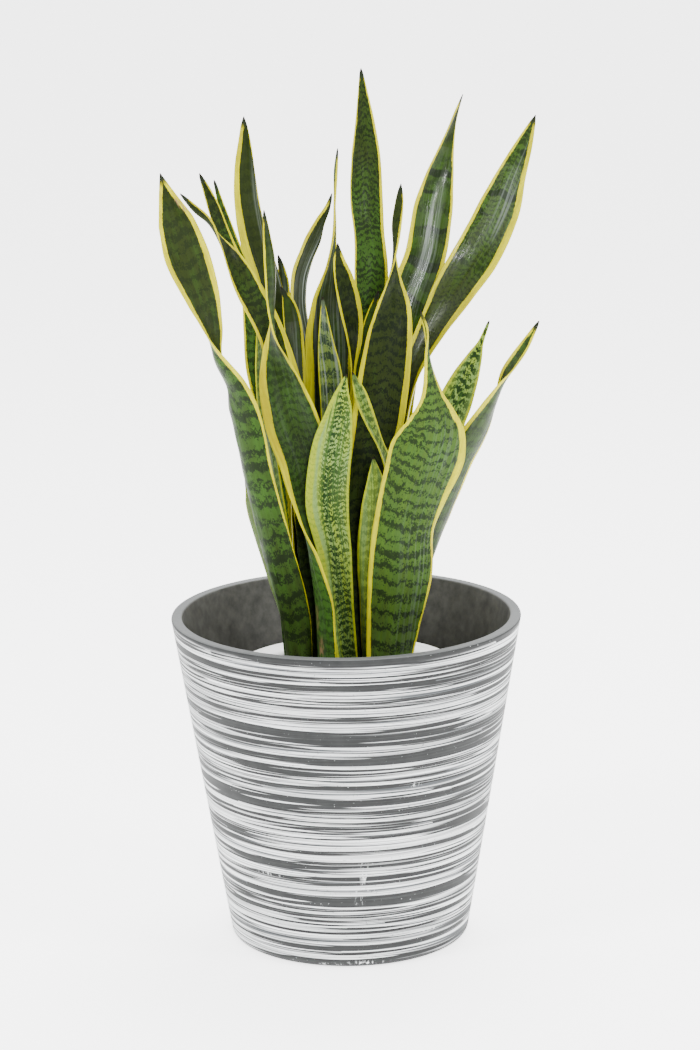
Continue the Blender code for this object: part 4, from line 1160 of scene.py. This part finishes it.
class PLANTER_OT_stage(bpy.types.Operator):
    """Lay the pale floor, and set the soft lights and the camera at the photograph's angle."""

    bl_idname = "snake_plant.stage"
    bl_label = "Stage"

    def execute(self, context):
        settings = context.scene.stage_settings
        corners = [(x * FLOOR_REACH, y * FLOOR_REACH, 0.0)
                   for x, y in ((-1, -1), (1, -1), (1, 1), (-1, 1))]
        floor = mesh_piece("floor", corners, [(0, 1, 2, 3)], [paper_floor(settings)], smooth=False)
        floor.location.z = FLOOR_LEVEL
        world = bpy.data.worlds.new("white room")
        world.use_nodes = True
        tree = world.node_tree
        node = partial(add, tree)
        towards_back = node("SeparateXYZ", node("TexCoord", output="Generated"), output="Y")
        strength = node(RAMP, towards_back, -0.9, 0.5, settings.front_sky, settings.back_sky)
        background = tree.nodes["Background"]
        background.inputs["Color"].default_value = (1.0, 1.0, 1.0, 1.0)
        tree.links.new(strength, background.inputs["Strength"])
        context.scene.world = world
        lights = (("key_softbox", (-1.9, -1.5, 2.0), (0.7, 0.7), settings.key_power),
                  ("fill_softbox", (2.1, -1.2, 1.6), (0.7, 0.7), settings.fill_power),
                  ("top_softbox", (0.3, 1.0, 2.4), (1.2, 1.2), settings.top_power),
                  ("left_strip", (0.30, -2.75, 0.95), (0.05, 0.7), settings.strip_power),
                  ("right_strip", (0.52, -2.70, 0.95), (0.05, 0.7), settings.strip_power))
        for name, place, size, power in lights:
            light = bpy.data.lights.new(name, "AREA")
            light.shape = "RECTANGLE"
            light.size, light.size_y = size
            light.energy = power
            self.aimed(name, light, place, LIGHTS_AIM)
        lens = bpy.data.cameras.new("camera")
        lens.lens = CAMERA_LENS_MM
        lens.sensor_width = 36.0
        camera = self.aimed("camera", lens, CAMERA_PLACE, CAMERA_AIM, CAMERA_ROLL_DEGREES)
        context.scene.camera = camera
        return {"FINISHED"}

    def aimed(self, name, data, place, target, roll=0.0):
        """Put a light or a camera in the scene, so that it faces its target."""
        obj = bpy.data.objects.new(name, data)
        facing = (Vector(target) - Vector(place)).to_track_quat("-Z", "Y")
        rolled = Matrix.Rotation(math.radians(roll), 4, "Z")
        obj.matrix_world = Matrix.LocRotScale(Vector(place), facing, None) @ rolled
        bpy.context.scene.collection.objects.link(obj)
        return obj


class PLANTER_PT_panel(bpy.types.Panel):
    """Lists the plant's pieces in the sidebar."""

    bl_label = "Snake plant"
    bl_idname = "PLANTER_PT_panel"
    bl_space_type = "VIEW_3D"
    bl_region_type = "UI"
    bl_category = "Snake plant"

    def draw(self, context):
        for title in SETTINGS:
            settings = getattr(context.scene, title)
            box = self.layout.box()
            box.label(text=title.replace("_", " ").capitalize())
            for name in settings.bl_rna.properties.keys():
                if name not in {"rna_type", "name"}:
                    box.prop(settings, name)
        for operator in OPERATORS:
            self.layout.operator(operator.bl_idname)


SETTINGS = {"planter_settings": PlanterSettings, "leaf_settings": LeafSettings,
            "stage_settings": StageSettings}
OPERATORS = (PLANTER_OT_shell, PLANTER_OT_liner, PLANTER_OT_soil, PLANTER_OT_leaves,
             PLANTER_OT_stage)
CLASSES = (*SETTINGS.values(), *OPERATORS, PLANTER_PT_panel)


def register():
    """Register the classes and attach the settings to the scene."""
    for cls in CLASSES:
        bpy.utils.register_class(cls)
    for name, group in SETTINGS.items():
        setattr(bpy.types.Scene, name, PointerProperty(type=group))


def unregister():
    """Take the settings and the classes away again."""
    for name in SETTINGS:
        delattr(bpy.types.Scene, name)
    for cls in reversed(CLASSES):
        bpy.utils.unregister_class(cls)


def main():
    """Build the plant."""
    register()
    bpy.ops.snake_plant.planter()
    bpy.ops.snake_plant.liner()
    bpy.ops.snake_plant.soil()
    bpy.ops.snake_plant.leaves()
    bpy.ops.snake_plant.stage()


if __name__ == "__main__":
    main()
